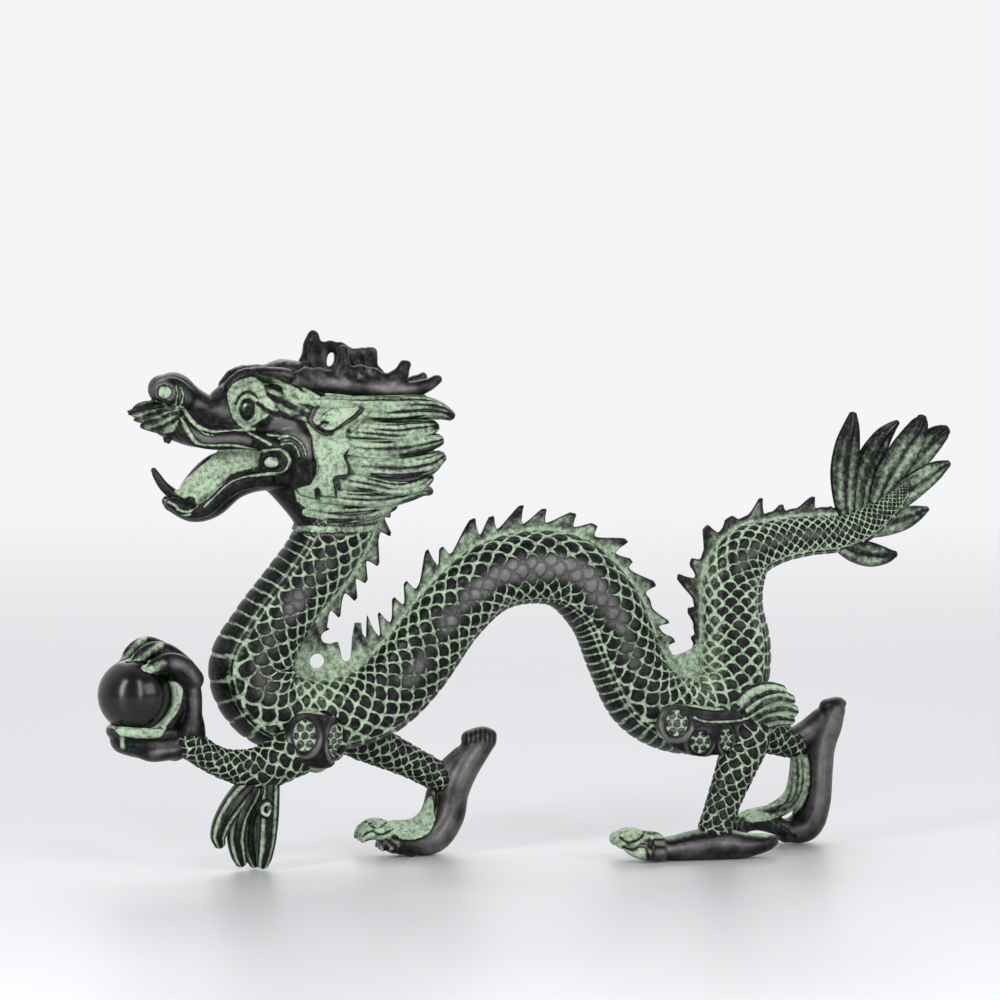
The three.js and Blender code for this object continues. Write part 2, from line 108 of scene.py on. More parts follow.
class Limb:
    """A closed tube: points[i, j] = path[i] + high cos(angle[j]) up[i] + wide sin(angle[j]) across[i]."""

    def __init__(self, rows, step, around):
        t, s = evenly(rows, step)
        row = rows_at(rows, t)
        path = row[:, :3]
        tangent = unit(np.gradient(path, axis=0))
        cap = np.linspace(0, math.pi / 2, CAP_RINGS + 2)[1:-1]
        blunt = np.minimum(row[[0, -1], 3], row[[0, -1], 4])
        share = np.concatenate([np.sin(cap), np.ones(len(s)), np.sin(cap[::-1])])[:, None]
        push = np.concatenate([-blunt[0] * np.cos(cap), np.zeros(len(s)), blunt[1] * np.cos(cap[::-1])])
        pick = np.concatenate([np.zeros(len(cap), int), np.arange(len(s)), np.full(len(cap), len(s) - 1)])
        self.tangent = tangent[pick]
        self.path = path[pick] + push[:, None] * self.tangent
        self.high = row[pick, 3:4] * share
        self.wide = row[pick, 4:5] * share
        self.s = s[pick] + push
        self.length = s[-1]
        self.angle = np.linspace(-math.pi, math.pi, around, endpoint=False)
        self.across = unit(SIDE - (self.tangent @ SIDE)[:, None] * self.tangent)
        self.up = np.cross(self.tangent, self.across)
        self.tips = np.array([path[0] - blunt[0] * tangent[0], path[-1] + blunt[1] * tangent[-1]])
        c, n = np.cos(self.angle), np.sin(self.angle)
        self.points = (
            self.path[:, None]
            + (self.high * c)[..., None] * self.up[:, None]
            + (self.wide * n)[..., None] * self.across[:, None]
        )
        self.normals = unit(
            (c / np.maximum(self.high, 0.3))[..., None] * self.up[:, None]
            + (n / np.maximum(self.wide, 0.3))[..., None] * self.across[:, None]
        )

    def raise_by(self, height):
        """Moves each point along its normal by height, an array of one number for each point."""
        self.points = self.points + self.normals * height[..., None]

    def grid(self):
        """The two numbers of each point: millimetres along, and the angle round from the upper edge."""
        return np.broadcast_arrays(self.s[:, None], self.angle[None])


def tube_faces(rows, around):
    """Quads between neighbouring rings, and a fan of triangles from each end's middle point, facing out."""
    i, j = np.meshgrid(np.arange(rows - 1), np.arange(around), indexing="ij")
    k = (j + 1) % around
    quads = np.stack([i * around + j, (i + 1) * around + j, (i + 1) * around + k, i * around + k], -1)
    ring, ahead = np.arange(around), (np.arange(around) + 1) % around
    first, last = rows * around, rows * around + 1
    end = (rows - 1) * around
    tris = np.concatenate(
        [
            np.stack([np.full(around, first), ring, ahead], -1),
            np.stack([np.full(around, last), end + ahead, end + ring], -1),
        ]
    )
    return quads.reshape(-1, 4), tris


# %% [markdown]
# ## From arrays to pieces
# A piece is a mesh with a few numbers stored on its points: patina says how much verdigris has settled
# there, from 0 for rubbed black metal to 1 for solid green, and below 0 it paints a grey sheen. Scaly
# pieces also carry a UV map that counts scales, so that the shader can draw each scale's edge sharper
# than the mesh could.

# %% Meshes and pieces
bronze_pieces = []


def mesh_of(name, points, quads, tris=()):
    """A mesh from an array of points in drawing millimetres, an array of quads and one of triangles."""
    quads = np.asarray(quads, np.int32).reshape(-1, 4)
    tris = np.asarray(tris, np.int32).reshape(-1, 3)
    mesh = bpy.data.meshes.new(name)
    corners = np.concatenate([quads.ravel(), tris.ravel()])
    starts = np.concatenate([np.arange(len(quads)) * 4, 4 * len(quads) + np.arange(len(tris)) * 3])
    mesh.vertices.add(len(points))
    mesh.vertices.foreach_set("co", ((points - MIDDLE) / 1000).astype(np.float32).ravel())
    mesh.loops.add(len(corners))
    mesh.loops.foreach_set("vertex_index", corners.astype(np.int32))
    mesh.polygons.add(len(starts))
    mesh.polygons.foreach_set("loop_start", starts.astype(np.int32))
    mesh.update(calc_edges=True)
    mesh.shade_smooth()
    return mesh


def arrays_of(mesh):
    """Points and normals of a mesh in drawing millimetres, and its quads and triangles."""
    points = np.empty(3 * len(mesh.vertices), np.float32)
    mesh.vertices.foreach_get("co", points)
    normals = np.empty_like(points)
    mesh.vertices.foreach_get("normal", normals)
    total = np.empty(len(mesh.polygons), np.int32)
    mesh.polygons.foreach_get("loop_total", total)
    start = np.empty_like(total)
    mesh.polygons.foreach_get("loop_start", start)
    corner = np.empty(len(mesh.loops), np.int32)
    mesh.loops.foreach_get("vertex_index", corner)
    quads = corner[start[total == 4][:, None] + np.arange(4)]
    tris = corner[start[total == 3][:, None] + np.arange(3)]
    return points.reshape(-1, 3) * 1000.0 + MIDDLE, normals.reshape(-1, 3).astype(float), quads, tris


def joined(*parts):
    """One (points, quads, tris, values) from several, with the faces' numbers moved on."""
    points, quads, tris, values, start = [], [], [], [], 0
    for p, q, t, v in parts:
        points.append(p)
        quads.append(np.asarray(q).reshape(-1, 4) + start)
        tris.append(np.asarray(t).reshape(-1, 3) + start)
        values.append(v)
        start += len(p)
    return tuple(np.concatenate(a) for a in (points, quads, tris, values))


def limb_arrays(limb, patina=0.0, u=0.0, v=0.0, scaly=0.0):
    """A limb's points, faces and values: patina, scale count along and round, and how scaly it is there."""
    rows, around = limb.points.shape[:2]
    quads, tris = tube_faces(rows, around)
    points = np.concatenate([limb.points.reshape(-1, 3), limb.tips])
    grids = [np.broadcast_to(value, (rows, around)).reshape(-1) for value in (patina, u, v, scaly)]
    ends = [[g[0], g[-1]] for g in grids]
    values = np.stack([np.concatenate([g, e]) for g, e in zip(grids, ends)], -1)
    return points, quads, tris, values


def piece(name, points, quads, tris, values, slot="patinated_bronze", node="dragon", around=0):
    """A finished piece. values holds patina first. With around, scale counts go into a UV map that runs on
    past the last column of a grid instead of jumping back to the first."""
    mesh = mesh_of(name, points, quads, tris)
    patina = mesh.attributes.new("patina", "FLOAT", "POINT")
    patina.data.foreach_set("value", values[:, 0].astype(np.float32))
    if around:
        scaly = mesh.attributes.new("scaly", "FLOAT", "POINT")
        scaly.data.foreach_set("value", values[:, 3].astype(np.float32))
        corners = np.concatenate([np.asarray(quads).ravel(), np.asarray(tris).ravel()])
        uv = values[corners, 1:3].copy()
        quad = uv[: 4 * len(quads)].reshape(-1, 4, 2)
        quad[..., 1] += around * (quad[..., 1].max(1, keepdims=True) - quad[..., 1] > around / 2)
        layer = mesh.uv_layers.new(name="scales")
        layer.data.foreach_set("uv", uv.astype(np.float32).ravel())
    made = bpy.data.objects.new(name, mesh)
    bpy.context.collection.objects.link(made)
    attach(made, "root")
    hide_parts(node)
    triangles = 2 * len(quads) + len(tris)
    bronze_pieces.append(made)
    print(f"{name}: {len(points)} points, {triangles} triangles")
    return made


# %% [markdown]
# ## The spine
# The whole body hangs on one curve from inside the head to inside the tail: down the neck, round the
# chest, up over the arched back, down to the hips, up again and out along the tail. Each row is x, z,
# half depth from belly to back, and half width.

# %% The spine's rows
SPINE = [
    (-92, 190, 17, 17), (-99, 173, 19, 18), (-108, 155, 18, 17), (-122, 137, 17.5, 17), (-135, 118, 19, 18),
    (-142.5, 99, 22, 19), (-135, 82, 21, 20), (-118, 74.5, 19, 20), (-98, 75.5, 18.5, 19),
    (-79, 82, 19, 18), (-62, 97.5, 19, 17.5), (-41, 125, 18, 17), (-21, 142.5, 18, 17), (2, 148, 18.5, 17),
    (22, 143.5, 19, 17), (39, 125, 19, 17), (49, 101, 19, 17.5), (60, 80.5, 19.5, 18.5), (78, 71, 19.5, 20),
    (96, 74, 20, 20), (105.5, 88, 18.5, 18), (107.5, 106, 18, 16), (105.5, 125, 16, 14.5),
    (106.5, 141, 16, 13.5), (114, 153, 14.5, 12), (128, 158.5, 11.5, 10.5), (145, 161.5, 10.3, 9.5),
    (161, 162.5, 9.5, 9), (175, 167, 8.5, 8), (188, 176, 6.2, 6.4), (198, 186, 3.2, 4),
]
spine = [(x, 0, z, deep, wide) for x, z, deep, wide in SPINE]
spine_t, spine_s = evenly(spine, 1.0)
print("the spine is", round(spine_s[-1]), "mm long")

# %% [markdown]
# ## Scales
# Each scale is a rounded diamond that points at the tail. Counting u along the body and v round it, the
# sums u + v and u - v are whole numbers on the two families of slanting edges, and bending each family
# by a sine of the other gives the edges their fish-scale curve. The count along follows the body's
# girth, so that scales on the thin tail are small.

# %% The scale pattern
SCALES_ROUND = 12
EDGE_CURVE = 0.15


def scale_cell(u, v):
    """Place in a scale: r, 0 in its middle and 1 at its edge, and tip, -1 headwards and 1 tailwards."""
    a, b = u + v, u - v
    bent_a = a - EDGE_CURVE * np.sin(np.pi * (b - np.floor(b)))
    bent_b = b - EDGE_CURVE * np.sin(np.pi * (a - np.floor(a)))
    p = 2 * (bent_a - np.floor(bent_a)) - 1
    q = 2 * (bent_b - np.floor(bent_b)) - 1
    return (np.abs(p) ** 3 + np.abs(q) ** 3) ** (1 / 3), 0.5 * (p + q)


def scale_height(u, v, height):
    """A low dome that is a little higher towards its tail end, with a groove at its edge."""
    r, tip = scale_cell(u, v)
    return height * ((1 - np.clip(r, 0, 1) ** 6) * (1 + 0.3 * tip) - 0.8)


# %% [markdown]
# ## The body
# The body is one grid of rings on the spine. The belly has broad plates across it between two beaded
# lines, and the rest has scales. In a tight bend the rings would cross on the inside, so there each
# ring's inner half is held short of the bend's centre.

# %% The body's grid
FLANK = 1.5  # angle from the back, in radians, of the worn band that carries a painted sheen
# strength along the spine of that band, both of its wear and of its painted sheen
WEAR_AND_SHEEN = [
    (0, 0.0), (18, 0.3), (28, 0.8), (45, 0.8), (60, 0.95), (85, 0.7), (110, 0.8), (150, 0.2), (190, 0.4),
    (215, 0.75), (230, 0.6), (255, 0.95), (290, 1.1), (330, 1.0), (365, 0.7), (420, 0.3), (470, 0.6),
    (520, 0.8), (560, 0.7), (610, 0.4),
]
DENSE = [
    (0, 0.6), (40, 0.4), (80, 0.3), (115, 0.5), (150, 0.7), (190, 0.15), (370, 0.2), (405, 0.7), (480, 0.7),
    (515, 0.4), (560, 0.5), (610, 0.5),
]
BAND_SHEEN = 0.54  # how much verdigris the band loses, so that it shows the painted sheen grey
BAND_WIDE = 0.42  # its half width in radians
COLLAR = 169.5  # height of the green band where the neck meets the head
BODY_STEP = 0.86  # between rings, in millimetres
BODY_COLUMNS = 120
BEND_ROOM = 0.88
SCALE_LONG = 0.52  # a scale's length as a part of the girth
BELLY = [
    (0, 54), (60, 57), (140, 50), (175, 34), (250, 27), (300, 30), (330, 51), (400, 55), (440, 44),
    (610, 34),
]
# from one belly plate to the next
PLATE = [(0, 6.2), (320, 6.2), (345, 3.9), (420, 3.9), (450, 6.2), (610, 6.2)]


def body_limb():
    """Rings on the spine, their inner half held within BEND_ROOM of the bend's radius."""
    limb = Limb(spine, BODY_STEP, BODY_COLUMNS)
    turn = np.gradient(limb.tangent, axis=0) / np.maximum(np.gradient(limb.s), 0.2)[:, None]
    kernel = np.hanning(15) / np.hanning(15).sum()
    bend = np.convolve((turn * limb.up).sum(1), kernel, "same")[:, None]
    reach = limb.high * np.cos(limb.angle)[None]
    room = BEND_ROOM / np.maximum(np.abs(bend), 1e-4)
    far = np.abs(reach)
    held = np.sign(reach) * np.minimum(far, room * np.tanh(far / room) ** 0.5)
    held = np.where((np.sign(reach) == np.sign(bend)) & (far >= 0.45 * room), held, reach)
    limb.points = limb.points + (held - reach)[..., None] * limb.up[:, None]
    return limb


def body_piece():
    """Scales, belly plates and beaded lines as one height and one amount of verdigris over the grid."""
    limb = body_limb()
    s, angle = limb.grid()
    girth = (limb.high + limb.wide) / 2
    count = np.cumsum(np.gradient(limb.s) / (SCALE_LONG * girth[:, 0]))
    u = np.broadcast_to(count[:, None], s.shape)
    v = (angle + math.pi) * SCALES_ROUND / (2 * math.pi) + 0.05 * np.sin(2.7 * u)
    u = u + 0.05 * np.sin(5 * angle + 0.7 * u)
    half_belly = np.radians(np.interp(limb.s, *np.array(BELLY).T))[:, None]
    zone = (math.pi - half_belly - np.abs(angle)) * girth
    scales = smooth(zone, 0.8, 2.2)
    pitch = np.interp(limb.s, *np.array(PLATE).T)[:, None]
    below = math.pi - np.abs(angle)
    plate_place = np.cumsum(np.gradient(limb.s)[:, None] / pitch, 0) - 0.25 * np.cos(below * 1.2)
    part = plate_place - np.floor(plate_place)
    plates = 0.8 * smooth(part, 0.0, 0.2) * (1 - smooth(part, 0.86, 1.0)) - 0.55
    beads = bell(zone, 0.8) + bell(zone + 2.4, 0.8)
    # worn marks the flank band: flatter scales with fainter lines, and less verdigris so that it shows a
    # painted sheen
    worn = bell(np.abs(angle) - FLANK, BAND_WIDE) * np.interp(limb.s, *np.array(WEAR_AND_SHEEN).T)[:, None]
    size = np.clip(girth / 18, 0.4, 1)
    height = scales * scale_height(u, v, 0.8) * size * (1 - np.minimum(0.7 * worn, 0.7))
    height = height + (1 - scales) * (1 - smooth(zone, -3.6, -2.6)) * plates * size + 0.45 * beads
    limb.raise_by(height)
    gap = np.minimum(part, 1 - part) * pitch
    patina = scales * 0.2 + (1 - scales) * (0.75 * (1 - smooth(gap, 0.25, 0.74)) + 0.02)
    patina = patina + 0.55 * bell(zone + 1.2, 0.7) + 0.55 * bell(zone - 1.3, 0.6)
    patina = patina - BAND_SHEEN * worn
    dense = np.interp(limb.s, *np.array(DENSE).T)[:, None] * scales
    near_crest = bell(np.abs(angle), 0.22) * scales
    patina = patina + 0.2 * dense + 0.3 * near_crest
    z = limb.points[..., 2]
    neck = s < 60
    collar = neck * smooth(z, COLLAR - 2.0, COLLAR - 1.2) * smooth(-z, -COLLAR - 3, -COLLAR - 2)
    limb.raise_by(0.7 * collar)
    grooves = 0.9 * bell(z - COLLAR - 2.6, 0.7) + 0.6 * bell(z - COLLAR + 2.2, 0.6)
    patina = patina + 0.5 * collar - neck * grooves
    scales = scales * (1 - collar)
    lines = scales * (1 - 0.36 * worn) * (1 - 0.45 * smooth(s, 572, 600)) + 0.3 * dense
    piece("body", *limb_arrays(limb, patina, u, v, lines), around=SCALES_ROUND)


body_piece()

# %% [markdown]
# ## The crest
# A thin toothed plate runs down the middle of the back. Each tooth rises in a long hollow curve towards
# the tail, hooks over, and drops straight to the next one. Its height is one function of the length
# along the spine, and its section is a slim wedge whose top leans tailwards. The foot is sunk in the
# back.

# %% The crest's teeth
NECK_TEETH = [(0.42, 7), (0.76, 10), (1.5, 10.4), (1.9, 9.6), (2.22, 10.6), (2.7, 9.8), (3.2, 8)]
HUMP_TEETH = [
    (9.3, 5), (10.04, 16), (10.34, 11.8), (10.64, 10.4), (10.88, 10.7), (11.36, 14), (11.6, 9.8),
    (12.08, 13.7), (12.34, 11.4), (12.74, 13.8), (13.14, 11.4), (13.58, 11.1), (13.9, 9.5), (14.28, 13),
    (14.58, 7.7), (15.02, 11), (15.22, 4.6), (15.6, 10), (16.1, 9),
]
TAIL_TEETH = [
    (20.6, 5), (21.38, 5.9), (22, 7.5), (22.66, 13.7), (23.04, 8.8), (23.68, 11.3), (24.12, 7.1),
    (24.78, 12.3), (25.38, 7.5), (26.18, 10.1), (26.9, 5),
]
CREST_BAND = 4.4  # height between the teeth
CREST_FOOT = 5.0  # how deep it is sunk in the back
CREST_THICK = (2.6, 1.0)  # half thickness at the foot and at the top
CREST_LEAN = 0.36
CREST_STEP = 0.5
CREST_TIP = 0.95  # how much of its drawn height a tooth keeps, as the hook carries its tip backwards


def crest_height(s, tips, heights, slim):
    """Each tooth rises as the slim power of the way from the tooth before it, and drops in 1.7 mm."""
    height = np.full(len(s), CREST_BAND)
    start = np.concatenate([[tips[0] - 10], tips[:-1] + 1.2])
    start = np.maximum(start, tips - 13)
    for a, b, h in zip(start, tips, heights):
        rise = np.clip((s - a) / (b - 1.4 - a), 0, 1) ** slim
        fall = 1 - smooth(s, b + 0.3, b + 2.0)
        tooth = CREST_BAND * 0.8 + (CREST_TIP * h - CREST_BAND * 0.8) * rise * np.where(s > b, fall, 1)
        height = np.maximum(height * (1 - 0.12 * bell(s - b - 2.2, 1.5)), np.where(s > a, tooth, 0))
    return height


def crest_strip(teeth, start, end, slim, green=0.47):
    """A closed loop round the plate, carried along the spine from one of its rows to another."""
    teeth = np.array(teeth, float)
    tips = np.interp(teeth[:, 0], spine_t, spine_s)
    s = np.arange(np.interp(start, spine_t, spine_s), np.interp(end, spine_t, spine_s), CREST_STEP)
    row = rows_at(spine, np.interp(s, spine_s, spine_t))
    tangent = unit(np.gradient(row[:, :3], axis=0))
    back = np.cross(tangent, SIDE)
    height = crest_height(s, tips, teeth[:, 1], slim)
    height = height * smooth(s, s[0] - 0.1, s[0] + 3) * smooth(-s, -s[-1] - 0.1, 3 - s[-1])
    loop = np.concatenate([np.linspace(-1, 1, 23), [0.5, -0.5]])
    share = 1 - np.abs(loop)
    share[-2:] = 0
    half = CREST_THICK[0] + (CREST_THICK[1] - CREST_THICK[0]) * share ** 0.7
    half = half * np.sqrt(np.clip((1.0 - share) / 0.12, 0, 1))
    up = row[:, 3:4] - CREST_FOOT + share * (height[:, None] + CREST_FOOT)
    tall = np.maximum(up - row[:, 3:4], 0)
    fold = 0.6 * s[:, None] - 0.35 * tall
    rib = np.sin(fold) * smooth(tall, 1.5, 3.5) * smooth(height[:, None] - tall, 0.4, 2)
    over = (CREST_LEAN * tall * np.clip(tall - CREST_BAND * 0.6, 0, None) / 12)[..., None]
    points = row[:, None, :3] + up[..., None] * back[:, None] + over * tangent[:, None]
    points = points + (np.sign(loop) * np.maximum(half + 0.22 * rib * (half > 0.3), 0))[..., None] * SIDE
    edge = height[:, None] - tall
    patina = green + 0.5 * bell(tall - 0.6, 0.8) - 0.42 * bell(edge, 0.8) * (tall > 1.5) + 0.12 * rib
    patina = patina - 0.2 * smooth(tall, 6, 10)
    quads, tris = tube_faces(len(s), len(loop))
    ends = points[[0, -1]].mean(1)
    values = np.zeros((points.shape[0] * points.shape[1] + 2, 4))
    values[:-2, 0] = np.broadcast_to(patina, points.shape[:2]).reshape(-1)
    return np.concatenate([points.reshape(-1, 3), ends]), quads, tris, values


# %% [markdown]
# ## One skin round many parts
# In the wax, a paw or a head is pressed together from rolls and pellets, and the joints are smoothed
# with a warm tool. fused() does the same. It turns overlapping closed limbs into one skin of small even
# faces and relaxes it. The verdigris then settles in hollows, and hollow() measures them on any skin.

# %% Fusing and hollows
GROOVE_GREEN = 0.9  # verdigris gained for each millimetre of hollow


def fused(parts, voxel, relax):
    """One even skin round overlapping closed parts, with faces of voxel mm, relaxed relax times."""
    raw = mesh_of("raw", *joined(*parts)[:3])
    made = bpy.data.objects.new("raw", raw)
    bpy.context.collection.objects.link(made)
    remesh = made.modifiers.new("fuse", "REMESH")
    remesh.mode = "VOXEL"
    remesh.voxel_size = voxel / 1000
    smoother = made.modifiers.new("relax", "SMOOTH")
    smoother.iterations = relax
    skin = bpy.data.meshes.new_from_object(made.evaluated_get(bpy.context.evaluated_depsgraph_get()))
    arrays = arrays_of(skin)
    bpy.data.objects.remove(made)
    bpy.data.meshes.remove(raw)
    bpy.data.meshes.remove(skin)
    return arrays


def neighbours(quads, tris):
    """Every edge, once in each direction, as two lists of point numbers."""
    a = np.concatenate([quads.ravel(), tris.ravel()])
    b = np.concatenate([np.roll(quads, -1, 1).ravel(), np.roll(tris, -1, 1).ravel()])
    return np.concatenate([a, b]), np.concatenate([b, a])


def spread(field, edges, rounds):
    """The field averaged over each point's neighbours, a number of times."""
    a, b = edges
    count = np.maximum(np.bincount(a, minlength=len(field)), 1)
    for _ in range(rounds):
        field = 0.5 * field + 0.5 * np.bincount(a, weights=field[b], minlength=len(field)) / count
    return field


def hollow(points, normals, quads, tris):
    """How far each point lies under its neighbours' mean, in millimetres: positive in grooves."""
    edges = neighbours(quads, tris)
    around = np.stack([spread(points[:, k].astype(float), edges, 3) for k in range(3)], 1)
    return ((around - points) * normals).sum(1)


def solids(*limbs, around=20):
    """Plain limbs through lists of rows."""
    return [limb_arrays(Limb(rows, 1.2, around)) for rows in limbs]


def mirrored(rows):
    """The same rows on the other side of the middle plane."""
    return [(x, -y, *rest) for x, y, *rest in rows]


def both(*limbs):
    """Plain limbs on both sides."""
    return solids(*limbs, *[mirrored(rows) for rows in limbs])


def plain_values(patina):
    """The value columns of a piece that has no scales."""
    return np.stack([patina] + [np.zeros(len(patina))] * 3, 1)


def skin_values(points, normals, quads, tris, height, patina, groove=GROOVE_GREEN):
    """The skin raised by height, with more verdigris where the result is hollow."""
    points = points + height[:, None] * normals
    hollows = np.clip(hollow(points, normals, quads, tris), -0.25, 0.5)
    return points, quads, tris, plain_values(patina + groove * hollows)


# %% [markdown]
# ## Webs in the two valleys
# Where the back bends sharply, behind the neck and over the hips, the crest becomes an upright plate
# that fills the bottom of the bend. The front plate has a round hole. A flat outline is filled and
# thickened as text outlines are, then given the same even skin as the fused parts.

# %% The webs
def plate(outline, hole=None, thick=1.5, bevel=0.8):
    """A thick flat outline in the middle plane. hole is an oval: x, z, half width, half height, lean."""
    curve = bpy.data.curves.new("outline", "CURVE")
    curve.dimensions = "2D"
    curve.fill_mode = "BOTH"
    curve.extrude = thick / 1000
    curve.bevel_depth = bevel / 1000
    curve.bevel_resolution = 1
    rings = [np.asarray(outline, float)]
    if hole:
        turn = np.linspace(0, 2 * math.pi, 24, endpoint=False)
        x, z, across, tall, lean = hole
        oval = x + across * np.cos(turn) + lean * np.sin(turn), z + tall * np.sin(turn)
        rings.append(np.stack(oval, 1))
    for ring in rings:
        spline = curve.splines.new("POLY")
        spline.points.add(len(ring) - 1)
        flat = np.concatenate([ring / 1000, np.zeros((len(ring), 1)), np.ones((len(ring), 1))], 1)
        spline.points.foreach_set("co", flat.astype(np.float32).ravel())
        spline.use_cyclic_u = True
    made = bpy.data.objects.new("outline", curve)
    bpy.context.collection.objects.link(made)
    filled = bpy.data.meshes.new_from_object(made.evaluated_get(bpy.context.evaluated_depsgraph_get()))
    flat, _, _, _ = arrays_of(filled)
    loops = [tuple(face.vertices) for face in filled.polygons]
    fans = np.array([(f[0], f[k], f[k + 1]) for f in loops for k in range(1, len(f) - 1)])
    flat = flat - MIDDLE
    bpy.data.objects.remove(made)
    bpy.data.curves.remove(curve)
    bpy.data.meshes.remove(filled)
    points = np.stack([flat[:, 0], -flat[:, 2], flat[:, 1]], 1)
    return points, np.zeros((0, 4), int), fans, np.zeros((len(points), 4))


NECK_WEB = [
    (-130, 100), (-124, 118), (-112, 122), (-107, 119.5), (-104.5, 118.5), (-107.5, 117), (-108.5, 114),
    (-107, 111), (-103, 110), (-99.5, 111), (-98.4, 107), (-97.6, 102.5), (-94.5, 100.6), (-91.6, 102),
    (-91, 108), (-90.6, 114), (-89.4, 120.5), (-87.8, 120.5), (-87, 115), (-84, 112), (-80, 98), (-84, 90),
    (-118, 82),
]
HIND_WEB = [
    (64, 82), (63, 104), (66, 110.5), (72, 111), (71.5, 105.5), (72.6, 102), (76, 100.6), (80, 101.8),
    (83.4, 103.4), (83.8, 100.6), (86, 101), (86, 106), (92, 108), (98, 80),
]
NECK_HOLE = (-109.5, 102.3, 4.6, 4.6, 0)


def crest_piece():
    """Three toothed strips and the two webs between them."""
    strips = [
        crest_strip(NECK_TEETH, 0.1, 3.6, 1.6),
        crest_strip(HUMP_TEETH, 8.9, 16.6, 1.8),
        crest_strip(TAIL_TEETH, 20.2, 27.3, 3.0, green=0.34),
    ]
    plates = [plate(NECK_WEB, NECK_HOLE), plate(HIND_WEB)]
    points, normals, quads, tris = fused(plates, 0.7, 2)
    x, z = points[:, 0], points[:, 2]
    shade = 0.66 + 0.1 * np.cos(x * 0.9 + 0.5 * z) - 0.3 * smooth(z, 104, 114)
    piece("crest", *joined(*strips, (points, quads, tris, plain_values(shade))))


crest_piece()

# %% [markdown]
# ## Drawing on the side of the head
# The sculptor would scratch the face's lines into the wax from the side. The same is done here: the
# lines and outlines are drawn on a side view, and each point of the skin looks up its distance to them.
# The side view is taken a little from the front and from above, so a point that stands out by |y| is
# found a share of |y| further back and lower.

# %% Lines and outlines on a side view
VIEW_BACK = 0.2126
VIEW_DROP = 0.0702


def side_view(points, middle=0.0, drawn_at=0.0):
    """Where a point is found on the side drawing. Both sides of the limb's own middle plane are drawn
    alike, and drawn_at is the Y of the plane that the drawing was made on."""
    out = np.abs(points[:, 1] - middle) + drawn_at - middle
    return points[:, 0] + VIEW_BACK * out, points[:, 2] - VIEW_DROP * out


def facing_side(normals, low=0.1):
    """1 where the skin faces sideways, 0 where it faces up, down, forwards or backwards."""
    return smooth(np.abs(normals[:, 1]), low, 0.5)


def segment_gap(x, z, curve):
    """The distance to the nearest piece of a line of points."""
    a, d = curve[:-1], np.diff(curve, axis=0)
    px, pz = x[:, None] - a[:, 0], z[:, None] - a[:, 1]
    t = np.clip((px * d[:, 0] + pz * d[:, 1]) / np.maximum((d ** 2).sum(1), 1e-9), 0, 1)
    return np.sqrt((px - t * d[:, 0]) ** 2 + (pz - t * d[:, 1]) ** 2).min(1)


def off_line(x, z, line):
    """Distance to a smooth line through a few points."""
    return segment_gap(x, z, rows_at(line, np.linspace(0, len(line) - 1, 5 * len(line))))


def within(x, z, outline, smoothly=True):
    """Signed distance to a closed outline, positive inside: odd crossings to the right mean inside."""
    ring = np.asarray([outline[-1], *outline, *outline[:2]], float)
    steps = 5 if smoothly else 1
    curve = rows_at(ring, np.linspace(1, len(outline) + 1, steps * len(outline) + 1))
    a, b = curve[:-1], curve[1:]
    crosses = (a[:, 1] > z[:, None]) != (b[:, 1] > z[:, None])
    rise = np.where(np.abs(b[:, 1] - a[:, 1]) < 1e-9, 1e-9, b[:, 1] - a[:, 1])
    at = a[:, 0] + (z[:, None] - a[:, 1]) * (b[:, 0] - a[:, 0]) / rise
    odd = (crosses & (x[:, None] < at)).sum(1) % 2
    return segment_gap(x, z, curve) * np.where(odd == 1, 1.0, -1.0)


# %% [markdown]
# ## The head's masses
# Skull, nose, the two jaws, tongue, cheeks and brows are rolls and pellets, fused to one skin. Rows are
# x, y, z, half height, half width, and most of them are made on both sides.

# %% The head's rolls
SKULL = [
    [(-176, 0, 229, 8.5, 8), (-165, 0, 226.5, 9, 11), (-152, 0, 229, 15, 14.5), (-138, 0, 230, 17, 18.5),
     (-120, 0, 226, 20, 21), (-103, 0, 213, 24, 21.5), (-92, 0, 202, 24, 19)],
    [(-187.5, 0, 240, 7.4, 9), (-182, 0, 239, 9.6, 11), (-174, 0, 234, 8, 9.5), (-166, 0, 230, 7, 9.5)],
    [(-186, 0, 222, 6, 8.5), (-172, 0, 219, 8, 12), (-155, 0, 217, 7.5, 15), (-138, 0, 216, 8.5, 18),
     (-122, 0, 213, 10, 20)],
    [(-184, 0, 182, 3, 6.5), (-173, 0, 178.8, 5.5, 9.5), (-163, 0, 182.3, 7, 11), (-151, 0, 191, 6.3, 13),
     (-137, 0, 195, 6.5, 16), (-121, 0, 198, 12, 18)],
    [(-178, 0, 186, 2.4, 4.5), (-173, 0, 191.6, 4.8, 6.8), (-160, 0, 201.4, 6.4, 8.8),
     (-138, 0, 206, 6.4, 10)],
    [(-177, 0, 184.5, 3.4, 6.4), (-166, 0, 189.6, 5, 8.4), (-153, 0, 196, 6, 11), (-140, 0, 201, 6, 14)],
    [(-128, 0, 194, 9, 12), (-113, 0, 184, 14, 16), (-103, 0, 174, 17, 17)],
    [(-180, 0, 185.5, 3.2, 3.6), (-186.6, 0, 191, 2.6, 2.9), (-190.4, 0, 196.4, 2.1, 2.3),
     (-192.2, 0, 199.8, 1.4, 1.5)],
    [(-134, 0, 247, 5, 9), (-127, 0, 249.5, 5, 9), (-118, 0, 247, 6, 8)],
]
